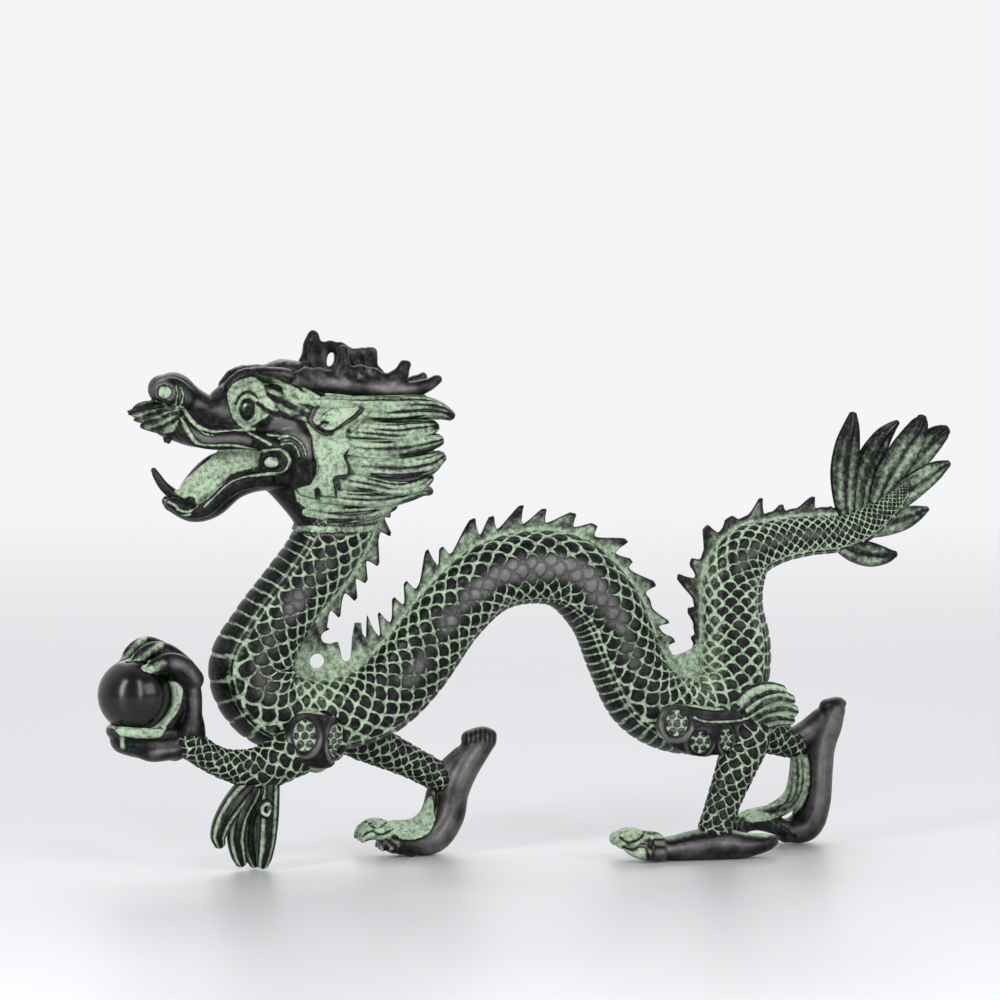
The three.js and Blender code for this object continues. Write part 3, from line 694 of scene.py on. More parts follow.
FACE = [
    [(-189.4, -8, 240.4, 5, 3.6), (-184.6, -9.8, 239.4, 7.4, 4.4), (-177, -9.2, 236, 6, 4)],
    [(-183, -5.5, 227, 5.2, 4.6), (-195, -5, 230, 4.2, 3.6), (-203.4, -3.6, 228.5, 1.8, 2)],
    [(-181, -6, 222.4, 5, 4), (-192, -5.2, 225.2, 3.9, 3.4), (-200.2, -4.2, 225.4, 1.9, 2)],
    [(-180, -6, 219.5, 4.2, 3.8), (-189, -5.2, 221, 3.4, 3.2), (-196.8, -4, 221.6, 1.8, 1.8)],
    [(-184.8, -4.2, 219, 2.6, 2), (-185, -4, 216, 2, 1.8), (-185.3, -4, 213.8, 1.3, 1.2)],
    [(-182, -8.5, 225, 3.4, 3), (-176, -11.5, 217.5, 4.2, 3.2), (-165, -13.5, 214.8, 4.6, 3.5),
     (-150, -16, 215, 4.6, 3.5), (-139, -18, 213.5, 4.4, 3.5), (-132, -19, 210, 3.2, 3)],
    [(-184, -7, 183.5, 3.2, 3), (-176, -9, 179.5, 3.8, 3.2), (-167, -10, 181, 4, 3.2),
     (-158, -11.5, 189, 4, 3.4), (-148, -14, 193.8, 3.8, 3.2), (-137, -16.5, 195.5, 4, 3)],
    [(-127, -16, 214, 8, 6), (-119, -18.5, 211, 10, 6.5), (-114, -17, 201, 11, 6)],
    [(-138, -17, 204, 5.5, 4), (-130, -18.2, 203.4, 6, 4)],
    [(-154, -7.5, 241, 4.2, 4.6), (-148.6, -10, 246, 4.2, 4.6), (-139, -12, 247.6, 3.8, 4.6),
     (-127, -13, 246.6, 4, 4.6)],
    [(-149.6, -12.8, 230.8, 5.4, 3.4), (-145.4, -13.8, 230.8, 5.4, 3.4)],
    [(-113, -19.5, 221, 4, 4), (-106, -22.5, 222.5, 7.4, 3.6), (-98, -25, 225, 6.8, 3),
     (-91, -26.5, 228.4, 3, 2.2), (-87.5, -27, 229.4, 1.2, 1.2)],
    [(-119, -16, 198, 12, 7), (-106, -19.5, 200, 17, 7), (-96, -20.6, 203, 15, 5.4), (-89, -20, 205, 9, 4)],
    [(-173.5, -6, 184.4, 3.2, 3), (-172.5, -6.5, 186, 2.8, 2.6)],
]

# %% [markdown]
# ## The face's lines
# Each stroke is a line on the side drawing with its half width, how deep it is pressed, and how much
# verdigris it holds. Each patch is an outline with the height and the verdigris it adds inside.

# %% Strokes and patches of the face
# half width, depth and verdigris of each kind of stroke
GROOVE = (0.75, 0.7, 0.75)
FINE = (0.6, 0.45, 0.6)
DARK = (1.0, 0.9, -0.85)
INKED = (0.6, 0.5, -0.8)
RIM = (0.9, 0.6, -1.0)
ZIGZAG = (1.4, 1.1, -1.1)
LIP = (1.5, 0.0, 0.45)
STROKES = [
    (INKED, [(-104.8, 224.6), (-103, 224.9), (-101.9, 223.5), (-102.8, 222), (-104.6, 222.4)]),
    (RIM, [(-109.8, 231), (-107.6, 233.6), (-103, 234.6), (-94, 234.4), (-86.5, 232.6)]),
    (LIP, [(-176.4, 221.6), (-173, 216.2), (-169.4, 212.8)]),
    (GROOVE, [(-179.5, 230.5), (-176, 229.5), (-171, 223), (-163.5, 219), (-157, 218.5), (-144, 219.5),
     (-140.5, 219.5)]),
    (FINE, [(-175.5, 227.5), (-172.5, 223.5), (-169, 220.5), (-165.5, 217.5), (-161.5, 216.6)]),
    (GROOVE, [
        (-177.5, 225.5), (-173, 218), (-170.5, 213.5), (-165.5, 211.5), (-150, 211), (-138.5, 207.8),
    ]),
    (GROOVE, [(-143.5, 218), (-139, 215.5), (-132, 211.5)]),
    (FINE, [(-133.5, 216.5), (-129, 216), (-123.5, 216)]),
    (FINE, [(-128, 214.5), (-123, 215.5), (-119, 214), (-115.5, 210.5), (-114, 206)]),
    (FINE, [(-126.5, 211.5), (-122, 212), (-119, 209.5), (-117.5, 205.5)]),
    (GROOVE, [(-139, 205.5), (-138.5, 207.5), (-133, 208.5), (-127.5, 209), (-124, 206.5), (-122.5, 203),
     (-124, 199), (-127.5, 197), (-133, 196.8), (-139, 196.5)]),
    (GROOVE, [(-166, 181), (-158.5, 188.5), (-154.5, 192), (-150, 194.5), (-145, 196), (-139, 196.5)]),
    (DARK, [(-172, 181), (-167, 184), (-162, 187.5), (-157, 192.5), (-152, 196.5), (-147, 198),
     (-141.5, 199)]),
    (GROOVE, [
        (-187.5, 185), (-184, 183.5), (-180.5, 181.5), (-179, 179.5), (-174, 178.5), (-169.5, 181.5),
    ]),
    (FINE, [(-185, 181), (-181.5, 178), (-178, 176.5), (-173, 177)]),
    (DARK, [(-139, 232.5), (-135.5, 230.5), (-132.5, 227.5), (-128, 225.5)]),
    (GROOVE, [(-141, 234.8), (-136.5, 233), (-133, 230.5), (-129, 228.5)]),
    (FINE, [(-180, 241), (-179.2, 237), (-180, 232)]),
    (FINE, [(-177.5, 240.5), (-176.3, 236), (-178, 231)]),
    (DARK, [(-112, 240.5), (-108, 237.2), (-100, 235.4)]),
    (ZIGZAG, [(-91.5, 216), (-86.5, 211.5), (-89, 209), (-93.5, 205.5), (-91.5, 201), (-91, 197.5),
     (-88.5, 195.5), (-94, 194.5), (-99, 193.5), (-98, 189), (-98, 183.5), (-102.5, 183.5), (-108, 184.5),
     (-108.4, 188)]),
    (DARK, [(-107.5, 220.5), (-106.5, 222.6), (-104, 222.4), (-103.5, 220.4), (-105.4, 219.6)]),
]
FLUTES = [
    [(-205, 229.6), (-198, 231.4), (-191, 233), (-186, 234)],
    [(-204, 227.6), (-196.5, 229.6), (-189, 231.4), (-183, 232)],
    [(-201, 225), (-193, 226.8), (-186, 229.4), (-181, 230.5)],
    [(-197.5, 222.4), (-190, 224), (-184, 226.6), (-179.5, 228)],
    [(-192, 219.6), (-187, 220.8), (-182, 223.6), (-178.6, 226)],
]
WHISKERS = [
    (-206.5, 228.6), (-199, 234), (-191, 235), (-184, 234.6), (-178.5, 230), (-178.5, 223), (-182.5, 217.5),
    (-190, 217.6), (-198, 220), (-204, 224),
]
EAR = [
    (-112, 222), (-111.5, 227), (-108.5, 231), (-102.5, 233), (-94, 232.5), (-86.5, 230), (-85.5, 227.8),
    (-89, 224.5), (-94, 221), (-98.5, 217.5), (-103.5, 216), (-107.5, 217.5),
]
EYE_GROUND = [
    (-154.5, 236), (-152.5, 241), (-147, 244.4), (-139, 244.6), (-134, 236), (-130, 229), (-137, 223.5),
    (-143, 220.6), (-148.5, 221), (-152, 226),
]
TEMPLE = [
    (-142, 246), (-122, 244.5), (-110, 238), (-106, 234), (-111.5, 228), (-114, 222), (-124, 225),
    (-131, 230), (-137, 237),
]
UNDER_HORN = [
    (-126, 241), (-112, 238.4), (-96, 236.4), (-84, 236), (-84, 231), (-98, 233), (-110, 231), (-122, 234),
]
FRILL = [
    (-114, 222), (-110.5, 214), (-109.5, 208), (-108, 202), (-108, 196), (-112, 191), (-120, 188.7),
    (-119, 183), (-112, 178), (-104, 176), (-108, 184.5), (-98, 183.5), (-98, 189), (-99, 193.5),
    (-88.5, 195.5), (-91.5, 201), (-93.5, 205.5), (-86.5, 211.5), (-91.5, 216), (-103.5, 216),
]
TONGUE = [
    (-181.5, 189.5), (-171.5, 198.5), (-163.5, 205), (-159.5, 209.5), (-139.5, 208), (-139, 199.5),
    (-147, 197.5), (-152, 195.5), (-157, 191.5), (-162, 186.5), (-167, 183), (-172, 181.2), (-175, 184.5),
]
NOSTRIL = [(-189, 237), (-188.4, 240.6), (-185, 241.2), (-182.4, 239.2), (-183.2, 236), (-186.8, 235)]
# ovals: x, z, half width, half height
NOSTRIL_RIM = (-185.6, 238.2, 3.7, 3.4)
EYE = (-143.9, 229.2, 3.2, 4.4)
JAW_BOSS = (-131.6, 202.6, 5.4, 4.0)
GLINT = (-145.0, 231.0, 1.0, 1.0)
LIP_BEAD = (-173.5, 183.2, 1.0, 1.0)
# outline, height inside, verdigris inside, width of the edge
PATCHES = [
    (EYE_GROUND, -0.3, 0.62, 1.4), (TEMPLE, 0.0, 0.32, 3.0), (UNDER_HORN, 0.0, 0.5, 1.6),
    (NOSTRIL, -1.5, 0.95, 1.0),
]
# line of painted sheen, its half width, how bright
SHEEN = [
    ([(-174, 220.5), (-169, 216.6), (-163, 214.6), (-150, 214.6), (-143, 213.4)], 1.8, 0.34),
    ([(-129, 221.6), (-122, 219.6), (-116.5, 214.6), (-113.6, 207)], 2.8, 0.46),
    ([(-124.5, 213.2), (-120.6, 212), (-118.4, 208)], 1.0, 0.3),
    ([(-133, 220), (-127.5, 222.6), (-121, 222)], 1.8, 0.3),
    ([(-176, 236.5), (-168, 231.5), (-160, 229), (-154, 228)], 2.6, 0.22),
    ([(-146, 206), (-158, 207)], 1.0, 0.2),
]


def oval_way(x, z, oval):
    """0 in the middle of an oval (x, z, half width, half height), and 1 on it."""
    middle_x, middle_z, wide, high = oval
    return np.hypot((x - middle_x) / wide, (z - middle_z) / high)


def face_fields(points, normals):
    """Height and verdigris of every point of the head, from its place on the side drawing."""
    x, z = side_view(points)
    facing = facing_side(normals)
    height = np.zeros(len(x))
    patina = np.full(len(x), 0.04)
    for outline, rise, green, edge in PATCHES:
        inside = smooth(within(x, z, outline), -edge / 2, edge / 2) * facing
        height += rise * inside
        patina += green * inside
    patina += 0.9 * smooth(within(x, z, TONGUE), -0.5, 0.5) * smooth(14 - np.abs(points[:, 1]), 0, 2)
    frill = within(x, z, FRILL, smoothly=False)
    layer = smooth(frill, -0.7, 0.5)
    behind = smooth(x, -112, -108)
    height += (layer - 1) * 2.6 * behind * smooth(-z, -223, -219) * facing
    patina += facing * 0.85 * layer
    patina = np.maximum(patina, 0.7 * smooth(x, -107, -101))
    ear = within(x, z, EAR)
    height += facing * (1.1 * smooth(ear, -0.8, 0.3) - 2.2 * smooth(ear, 1.3, 3.4))
    patina += facing * (0.85 * smooth(ear, 1.2, 2.2) - 1.3 * bell(ear - 0.3, 1.0))
    for (width, depth, green), line in STROKES:
        near = bell(off_line(x, z, line), width) * facing
        height -= depth * near
        patina += green * near
    whiskers = smooth(within(x, z, WHISKERS), -0.4, 1.0)
    patina += 0.5 * whiskers
    for line in FLUTES:
        near = bell(off_line(x, z, line), 0.62)
        height -= 0.9 * near
        patina -= 0.75 * near
    height += 0.8 * bell(oval_way(x, z, NOSTRIL_RIM) - 1.35, 0.3) * facing
    ring = oval_way(x, z, EYE)
    ball = smooth(-ring, -1.9, -1.0)
    height += facing * (1.3 * ball - 0.5 * bell(ring - 1.0, 0.16) - 0.5 * bell(ring - 2.0, 0.22))
    iris = 0.45 * smooth(-ring, -0.9, -0.7)
    patina += facing * (0.3 * ball - 1.2 * bell(ring - 1.0, 0.2) - iris - 0.5 * bell(ring, 0.5))
    lid = bell(ring - 2.0, 0.14) * smooth(z, 229, 234)
    patina -= 1.1 * lid * facing
    patina += 0.9 * bell(oval_way(x, z, GLINT), 0.6) * facing
    boss = oval_way(x, z, JAW_BOSS)
    height += facing * (0.9 * smooth(-boss, -0.8, -0.2) - 0.8 * bell(boss - 1.0, 0.22))
    patina += facing * (smooth(-boss, -0.75, -0.55) - 0.5 * bell(boss - 1.0, 0.2))
    patina -= 1.3 * smooth(-oval_way(x, z, LIP_BEAD), -3.4, -2.6) * facing
    brow = smooth(within(x, z, TEMPLE), -1, 2) * smooth(ring, 2.0, 2.4)
    strands = np.sin(1.15 * (z + 0.62 * x) + 1.3 * np.sin(0.21 * x + 0.1 * z))
    strands = strands * (0.6 + 0.4 * np.sin(0.5 * x - 0.3 * z))
    height += 0.4 * strands * brow * facing
    patina -= (0.4 * strands + 0.02) * brow * facing
    top = smooth(normals[:, 2], 0.3, 0.8) * smooth(x, -158, -150) * smooth(-x, 112, 120)
    height += 0.2 * np.sin(1.1 * x + 2 * np.sin(0.5 * points[:, 1])) * np.sin(0.37 * x + 1.0) * top
    patina = np.maximum(patina, 0.0)
    # painted sheen lines go where the skin faces sideways and has little verdigris
    bare_sheen = facing * (1 - smooth(patina, 0.1, 0.3))
    for line, width, bright in SHEEN:
        patina -= bright * bell(off_line(x, z, line), width) * bare_sheen
    return height, patina


def head_piece():
    """The rolls fused to one skin, then carved by the side drawing."""
    parts = solids(*SKULL) + both(*FACE)
    points, normals, quads, tris = fused(parts, 0.74, 2)
    piece("head", *skin_values(points, normals, quads, tris, *face_fields(points, normals)))


head_piece()

# %% [markdown]
# ## Mane
# Seven locks a side sweep back from the cheek, lie against the neck and end in blunt curls, and shorter
# ones fill the back between them. Each lock is one limb with ridges that run along it like combed hair.
# The verdigris is darker in streaks in the grooves between the ridges, and the lower side of each lock
# is darkened along those streaks as painted shade.

# %% Locks
# x, y, z, half height, half width from root to tip
LOCKS = [
    [(-112, -14, 231, 5, 6), (-92, -18, 230, 6, 6), (-74, -18, 229.6, 6.6, 6.4), (-60, -16.5, 230, 6, 5.6),
     (-50, -14, 228.6, 4.4, 4.4), (-43.6, -12, 226, 2.6, 3)],
    [(-100, -16, 221, 5, 7), (-88, -20, 219.4, 5.4, 6), (-74, -21.4, 218, 5.6, 6.4),
     (-62, -20.4, 219, 5, 5.6), (-53.6, -18, 220.4, 3.2, 4)],
    [(-98, -17, 211, 5.4, 7), (-86, -21.6, 210, 6, 6.4), (-72, -22.6, 210.4, 6.4, 6.8),
     (-60, -21, 212.4, 5.4, 6), (-51.6, -18, 213.6, 3.4, 4.4)],
    [(-98, -16, 203, 5.4, 7), (-86, -21, 201.6, 6.6, 6.6), (-71, -22.4, 200, 7, 7),
     (-58, -20.6, 202, 6.2, 6.4), (-50.6, -17.6, 205, 3.6, 4.6)],
    [(-100, -15, 195.5, 5, 7), (-87, -20, 193, 5, 6), (-74, -20.6, 190.6, 5, 5.8),
     (-62, -19, 191.6, 4.2, 5), (-55.6, -16.6, 194.6, 2.6, 3.4)],
    [(-108, -13, 187, 5, 7), (-95, -18, 185.6, 4.8, 6.4), (-80, -19, 184.6, 4.6, 5.8),
     (-67, -17, 186.6, 3.6, 4.6), (-58.6, -14.4, 188.4, 2.8, 3.4), (-54.6, -13, 188, 2.2, 2.6)],
    [(-114, -9, 179.6, 5.4, 7), (-99, -14, 178, 6, 7), (-85, -15.4, 178.6, 5.4, 6),
     (-74, -13.4, 181.6, 3.4, 4)],
]
BACK_LOCKS = [
    [(-84, -6, 226, 6, 8), (-72, -6.5, 224, 6.5, 8), (-62, -6.5, 223.4, 5.5, 7),
     (-54.5, -6, 224.4, 3.6, 5)],
    [(-82, -6.5, 214, 6.5, 8), (-70, -7, 212, 7, 8), (-60, -7, 212, 6, 7.4), (-53, -6.4, 213.4, 3.8, 5)],
    [(-84, -6.5, 202, 6.5, 8.5), (-72, -7, 199, 7, 8.4), (-61, -7, 199, 6.2, 7.6), (-54, -6, 201, 3.8, 5)],
    [(-88, -5.5, 191, 6, 8), (-77, -6, 188.4, 5.4, 7.6), (-68, -6, 188.4, 4.2, 6.4),
     (-61.5, -5.4, 190.4, 3, 4.4)],
]
MANE_CORE = [
    (-112, 0, 201, 26, 17), (-94, 0, 202, 27, 18.5), (-76, 0, 205, 24, 17.5), (-62, 0, 209, 15, 12),
    (-56, 0, 211, 7, 7),
]
MANE_TOP = [(-106, 0, 235, 5, 14), (-88, 0, 233, 5.5, 15), (-70, 0, 232, 5, 13), (-56, 0, 232, 4, 9)]


def lock(rows, strands=6, depth=0.42, step=0.75, around=56, green=0.73):
    """A lock of combed hair. Its ridges are a cosine round it that wanders on the way to the tip."""
    limb = Limb(rows, step, around)
    s, angle = limb.grid()
    start = rng.uniform(0, 6, 4)
    drift = 0.6 * np.sin(s / 10 + start[0]) + 0.3 * np.sin(s / 5 + start[1] + 2 * angle)
    ridge = np.cos(strands * angle + drift)
    split = np.cos(2.0 * strands * angle + 1.7 * drift + start[2])
    slim = np.clip(np.minimum(limb.high, limb.wide) / 5, 0.15, 1)
    limb.raise_by((depth * ridge + 0.4 * depth * split) * slim)
    # the lower side of each lock, where its streaks are darkened as painted shade
    below = smooth(np.abs(angle), 1.75, 2.5)
    way = s / limb.length
    streak = smooth(np.sin(s / 8 + start[3] + 1.5 * np.sin(2 * angle)), -0.4, 0.6) * smooth(way, 0.12, 0.35)
    brushed = 0.5 + 0.5 * np.sin(s / 11 + start[1] + 2.0 * angle)
    patina = green + 0.12 * ridge + 0.12 * split - 0.55 * below * streak
    patina = patina - 0.5 * smooth(-split, 0.1, 0.8) * streak
    patina = patina - 0.3 * brushed * smooth(way, 0.2, 0.5) - 0.3 * smooth(way, 0.92, 1.0)
    return limb_arrays(limb, patina)


def mane_piece():
    """Side locks on both sides, back locks in two layers, and the core and top that they lie on."""
    parts = [lock(rows) for rows in LOCKS] + [lock(mirrored(rows)) for rows in LOCKS]
    lower = [[(x + 1, -y, z - 3.4, *rest) for x, y, z, *rest in rows] for rows in BACK_LOCKS]
    parts += [lock(rows, 6, 0.42, 1.0, 40) for rows in BACK_LOCKS + lower]
    parts += [lock(MANE_CORE, 20, 0.6, 1.2, 120, 0.45), lock(MANE_TOP, 12, 0.5, 1.0, 80, 0.7)]
    piece("mane", *joined(*parts))


mane_piece()

# %% [markdown]
# ## Horns
# A pair of antlers lies back over the mane. They are cast solid and worn smooth, so they stay dark. The
# two sides differ a little in where their prongs stand.

# %% The horns
BEAM = [
    (-123, -8, 243, 4.5, 5), (-116, -9.5, 244.5, 6.4, 5.5), (-104, -10, 243, 6.4, 5),
    (-88, -11, 240, 5.4, 4.6), (-74, -11.5, 238.4, 4.6, 4.2), (-62, -11.8, 239.2, 4.2, 3.8),
    (-54.5, -12, 241.6, 3.4, 3.4), (-49.8, -12, 244.2, 2.4, 2.8),
]
NEAR_PRONGS = [
    [(-99.4, -11, 242, 5, 4.4), (-98, -11.4, 252, 3.8, 3.6), (-97.6, -11.4, 259.4, 2.6, 2.8)],
    [(-98, -11, 247, 4, 3.4), (-88, -11, 247, 4.6, 3.4), (-80, -11, 245, 4, 3.4), (-72, -11, 243, 3.4, 3)],
    [(-74, -11.5, 240, 6, 4.2), (-69.4, -11.8, 246, 4.6, 3.6), (-66.2, -11.8, 251.4, 3.0, 3)],
]
FAR_PRONGS = [
    [(-112, 9.5, 245, 7, 5), (-110.6, 10, 254, 5.2, 4.6), (-109.8, 10, 261, 4.4, 4.2),
     (-109.4, 10, 264.8, 3.6, 3.6)],
]
FAR_PALM = [
    (-118, 244), (-114.6, 254), (-112, 262), (-108.6, 264), (-105.6, 261.4), (-101, 261.4), (-95.6, 261),
    (-92, 258.4), (-86, 257.4), (-81, 258.4), (-78.6, 257.6), (-78, 250), (-72, 243), (-86, 238),
]
PALM_HOLE = (-100.6, 253.6, 3.6, 5.4, 1.3)


def horn_piece():
    """Beams and prongs, and a thin palm between the far side's prongs with one small hole in it."""
    flat, quads, tris, values = plate(FAR_PALM, PALM_HOLE, 1.2, 1.6)
    palm = flat + np.array([0.0, 10.0, 0.0]), quads, tris, values
    near, far = BEAM, [(x - 3.0 * smooth(x, -70, -55), y, *rest) for x, y, *rest in mirrored(BEAM)]
    parts = solids(near, far, *NEAR_PRONGS, *FAR_PRONGS) + [palm]
    points, normals, quads, tris = fused(parts, 0.8, 3)
    x, z = points[:, 0], points[:, 2]
    height = 0.3 * np.sin(0.9 * x + 0.35 * z) * smooth(z, 243, 248)
    patina = 0.3 * smooth(z, 243, 246) * smooth(-z, -257, -253)
    patina = 0.02 + patina * smooth(x, -94, -90) * smooth(-x, 78, 82)
    sheen = bell(z - 243.5 + 0.06 * (x + 116), 2.4) * smooth(np.abs(normals[:, 1]), 0.4, 0.9)
    sheen = sheen * (0.55 + 0.45 * np.sin(0.23 * x))
    piece("horns", *skin_values(points, normals, quads, tris, height, patina - 0.36 * sheen))


horn_piece()

# %% [markdown]
# ## Legs
# Each leg is a scaly shank with a smooth hand or foot on it. The shank is a grid like the body's, with
# smaller scales. The hand is fused from rolls. The shoulder and the hip carry a smooth shield with
# pebbled ovals, and at elbow and hip there is a tuft of leaf-like locks.

# %% Shanks, shields and toes
LEG_SCALES = 8  # round a leg
LEG_SCALE_LONG = 0.8  # as a part of the girth
LEG_SCALE_HIGH = 0.85
SOLE_HEIGHT = 0.05


def shank(rows, lined=1.0):
    """A scaly limb whose scales grow thinner with it. lined is the strength of its green lines."""
    limb = Limb(rows, 0.75, 80)
    s, angle = limb.grid()
    girth = np.maximum((limb.high + limb.wide) / 2, 4)
    count = np.cumsum(np.gradient(limb.s) / (LEG_SCALE_LONG * girth[:, 0]))[:, None]
    start = rows[0][0]
    u = count + 0.07 * np.sin(3 * angle + 2.1 * count + start) + 0.04 * np.sin(7 * angle - 3.7 * count)
    v = (angle + math.pi) * LEG_SCALES / (2 * math.pi) + 0.09 * np.sin(4.3 * count + start)
    v = v + 0.04 * np.sin(2.3 * count + 5 * angle)
    limb.raise_by(scale_height(u, v, LEG_SCALE_HIGH))
    return limb_arrays(limb, 0.1, u, v, lined)


def pebbles(x, z, size):
    """Distance from the middle of the nearest cell of a honeycomb, 0 in the middle and 1 at the edge."""
    row = np.round(z / (0.866 * size))
    best = np.full(len(x), 9.0)
    for step in (-1, 0, 1):
        k = row + step
        shift = 0.5 * (k % 2)
        column = np.round(x / size - shift)
        gap = np.hypot(x - (column + shift) * size, z - k * 0.866 * size)
        best = np.minimum(best, gap)
    return best / (0.55 * size)


def shielded(x, z, outline, ovals, facing):
    """Height and verdigris of a smooth raised shield with pebbled ovals (x, z, half width, half height)."""
    inside = within(x, z, outline)
    height = 0.9 * smooth(inside, -0.6, 0.6) + 0.5 * bell(inside - 1.4, 1.0)
    patina = 0.66 - 0.66 * smooth(inside, -0.8, 0.2) + 0.35 * bell(inside + 0.4, 0.6)
    for cx, cz, wide, high in ovals:
        oval = oval_way(x, z, (cx, cz, wide, high))
        bowl = smooth(-oval, -1.0, -0.85)
        peb = pebbles(x - cx, z - cz, 0.62 * min(wide, high) + 1.2)
        collar = smooth(-oval, -1.8, -1.3)
        height += 0.9 * collar - 1.6 * bowl + 0.8 * bowl * (1 - smooth(peb, 0.4, 0.95))
        patina += bowl * (0.85 - 0.95 * (1 - smooth(peb, 0.62, 0.8))) + 0.5 * bell(oval - 0.95, 0.08)
        # a painted sheen on the lower side of each oval's collar
        patina -= 0.4 * bell(oval - 1.35, 0.16) * smooth(cz - z, -2, 4)
    return height * facing, patina * facing + 0.3 * (1 - facing)


def leg_piece(name, *parts):
    """One leg from its parts. Feet are filed flat, so nothing goes below the ground."""
    points, *rest = joined(*parts)
    points[:, 2] = np.maximum(points[:, 2], SOLE_HEIGHT)
    piece(name, points, *rest, around=LEG_SCALES)


def leaf_lock(rows, strands, depth, around, green):
    """A leaf-shaped lock with a few ribs that run to its tip."""
    limb = Limb(rows, 0.6, around)
    s, angle = limb.grid()
    slim = np.clip(np.minimum(limb.high, limb.wide) / 4, 0.15, 1)
    rib = np.cos(strands * angle + 0.3 * np.sin(s / 7 + rows[0][0]))
    limb.raise_by(depth * rib * slim)
    edge = smooth(np.abs(np.cos(angle)), 0.75, 0.97)
    patina = green - 0.4 * edge - 0.42 * smooth(rib, -0.1, 0.7) + 0.34 * smooth(-rib, 0.3, 0.9)
    return limb_arrays(limb, patina)


# %% [markdown]
# ## The raised foreleg and the ball
# The near foreleg reaches forward and rests on the tuft at its elbow. Its hand is a smooth C with the
# ball in its grip: three fingers come over the top, and the thumb and palm are below and behind. Where
# skin would enter the ball it is pushed out to the ball's surface, so the hand fits it closely.

# %% The near foreleg
BALL = np.array([-206.0, -24.0, 89.5])
BALL_RADIUS = 18.3
BALL_GAP = 0.25  # from the ball to the skin that holds it
ARM = [
    (-108, -13, 67, 15, 11), (-126, -19, 58, 12.4, 10.5), (-142, -22, 51.5, 11, 9.6),
    (-157, -24, 53, 8.2, 8), (-169, -27, 58, 7.2, 7.6), (-179, -29, 65.5, 8.0, 8.4),
]
SHOULDER = [
    (-118, -17, 76, 8, 5), (-117, -20, 71, 12.4, 7.4), (-116, -21, 64, 14.4, 8.4),
    (-114, -20.5, 57.5, 12, 7.4), (-112, -18, 53.5, 7, 5.4),
]
SHIELD = [
    (-129.5, 72.5), (-130.5, 66.5), (-128, 60.5), (-124, 54.5), (-118, 52), (-110, 51), (-104, 54),
    (-101.5, 61), (-101.5, 70), (-104, 74.5), (-110, 77), (-118, 78), (-125, 77),
]
SHOULDER_OVALS = [(-120.5, 67.4, 5.6, 7.4), (-106.2, 64.5, 3.2, 8.0)]
HAND = [
    [(-186, -24, 62, 6, 10.5), (-180, -24, 67.6, 7.6, 12), (-178, -24, 80, 5.8, 13.4),
     (-179, -24, 93, 6, 13.4), (-184.6, -24, 101.5, 5.6, 12)],
    [(-184, -24, 66, 7, 10), (-196, -24, 64.4, 7.6, 12), (-206, -24, 66, 7.4, 12),
     (-211, -24, 67.4, 7.2, 11)],
    [(-188, -27, 62, 5, 9), (-197.4, -27, 61.6, 5.4, 9.4), (-203, -26, 62.6, 4.6, 9)],
    [(-178, -28, 65, 7, 8.5), (-177.4, -26, 72, 6.6, 9), (-178.5, -25, 80, 6, 10)],
    [(-186.8, -25, 99, 4.6, 9), (-183.6, -25, 89, 4.8, 10), (-187, -25, 78.6, 4.8, 10),
     (-196.4, -25, 70.6, 4.6, 10), (-208, -24, 69.4, 4.4, 11), (-216, -24, 71.6, 4, 10)],
    [(-186, -14, 96, 5, 7), (-184, -14, 84, 5, 7), (-190, -14, 74, 5, 7), (-204, -14, 68.6, 5, 7)],
    [(-188, -33, 71, 3, 3), (-197, -35.4, 71, 3, 3), (-208, -36, 71.6, 3, 3), (-215, -34, 72.6, 2.6, 2.6)],
]
FINGERS = [
    [(-178.4, -32, 97, 6.4, 5.8), (-184, -34.6, 104, 5.8, 5.2), (-191, -35, 106.4, 5, 4.8),
     (-197, -34.4, 104.4, 4, 4.2), (-202.4, -33.4, 101.4, 2.2, 2.4)],
    [(-181, -24, 102, 6, 5.6), (-189, -25, 109.2, 5.4, 5), (-196.5, -26, 111.6, 4.6, 4.6),
     (-203.4, -26.6, 108.6, 3.6, 3.8), (-208.4, -27, 103.6, 1.9, 2.1)],
    [(-184, -14, 103, 6, 5.2), (-192, -15.6, 110.8, 5, 4.8), (-199.5, -17, 113.6, 4.4, 4.4),
     (-206.4, -18, 110.6, 3.4, 3.5), (-211, -18.6, 105.4, 1.7, 1.9)],
]
ELBOW_TUFT = [
    [(-146, -22, 45, 5, 5), (-154, -25, 37, 5.4, 5), (-161, -26, 27, 4.8, 4.4), (-164.2, -26, 19, 3.8, 3.6),
     (-163.6, -25.6, 14.6, 2.8, 2.8)],
    [(-147, -23, 40, 5.5, 5), (-152.6, -23.4, 29, 4.6, 4.6), (-154.6, -22.6, 18, 4.4, 4.4),
     (-153.4, -21.6, 9, 3.8, 3.8), (-152, -21, 4.4, 2.8, 2.8)],
    [(-142, -20, 40, 5.5, 6), (-146.6, -18.4, 26, 4.4, 4.6), (-147, -17.6, 14, 4.2, 4.2),
     (-145.4, -17.4, 6, 3.4, 3.4), (-144.6, -17.4, 3.2, 2.6, 2.6)],
    [(-138, -22, 42, 5, 6), (-138.6, -24, 28, 4.8, 5), (-139.6, -24, 15, 4.4, 4.4),
     (-140.8, -23, 6, 3.6, 3.6), (-141.2, -22.6, 3.4, 2.8, 2.8)],
]
CURL = [
    (-138, -27, 33, 2, 2.2), (-140, -28, 35, 2, 2.2), (-143, -28, 33, 1.9, 2.2),
    (-143, -28.4, 29.4, 1.8, 2.2), (-140, -28.6, 28, 1.6, 2), (-138.6, -28.6, 30, 1.4, 1.8),
]
PALM_GREEN = [
    (-191, 97), (-183.5, 93.5), (-184, 85.5), (-186.5, 80.5), (-190.5, 76), (-192.5, 71), (-197, 68.5),
    (-214, 70.5), (-221, 80), (-206, 90),
]
THUMB_END = [(-214, 72), (-213.4, 64.5)]
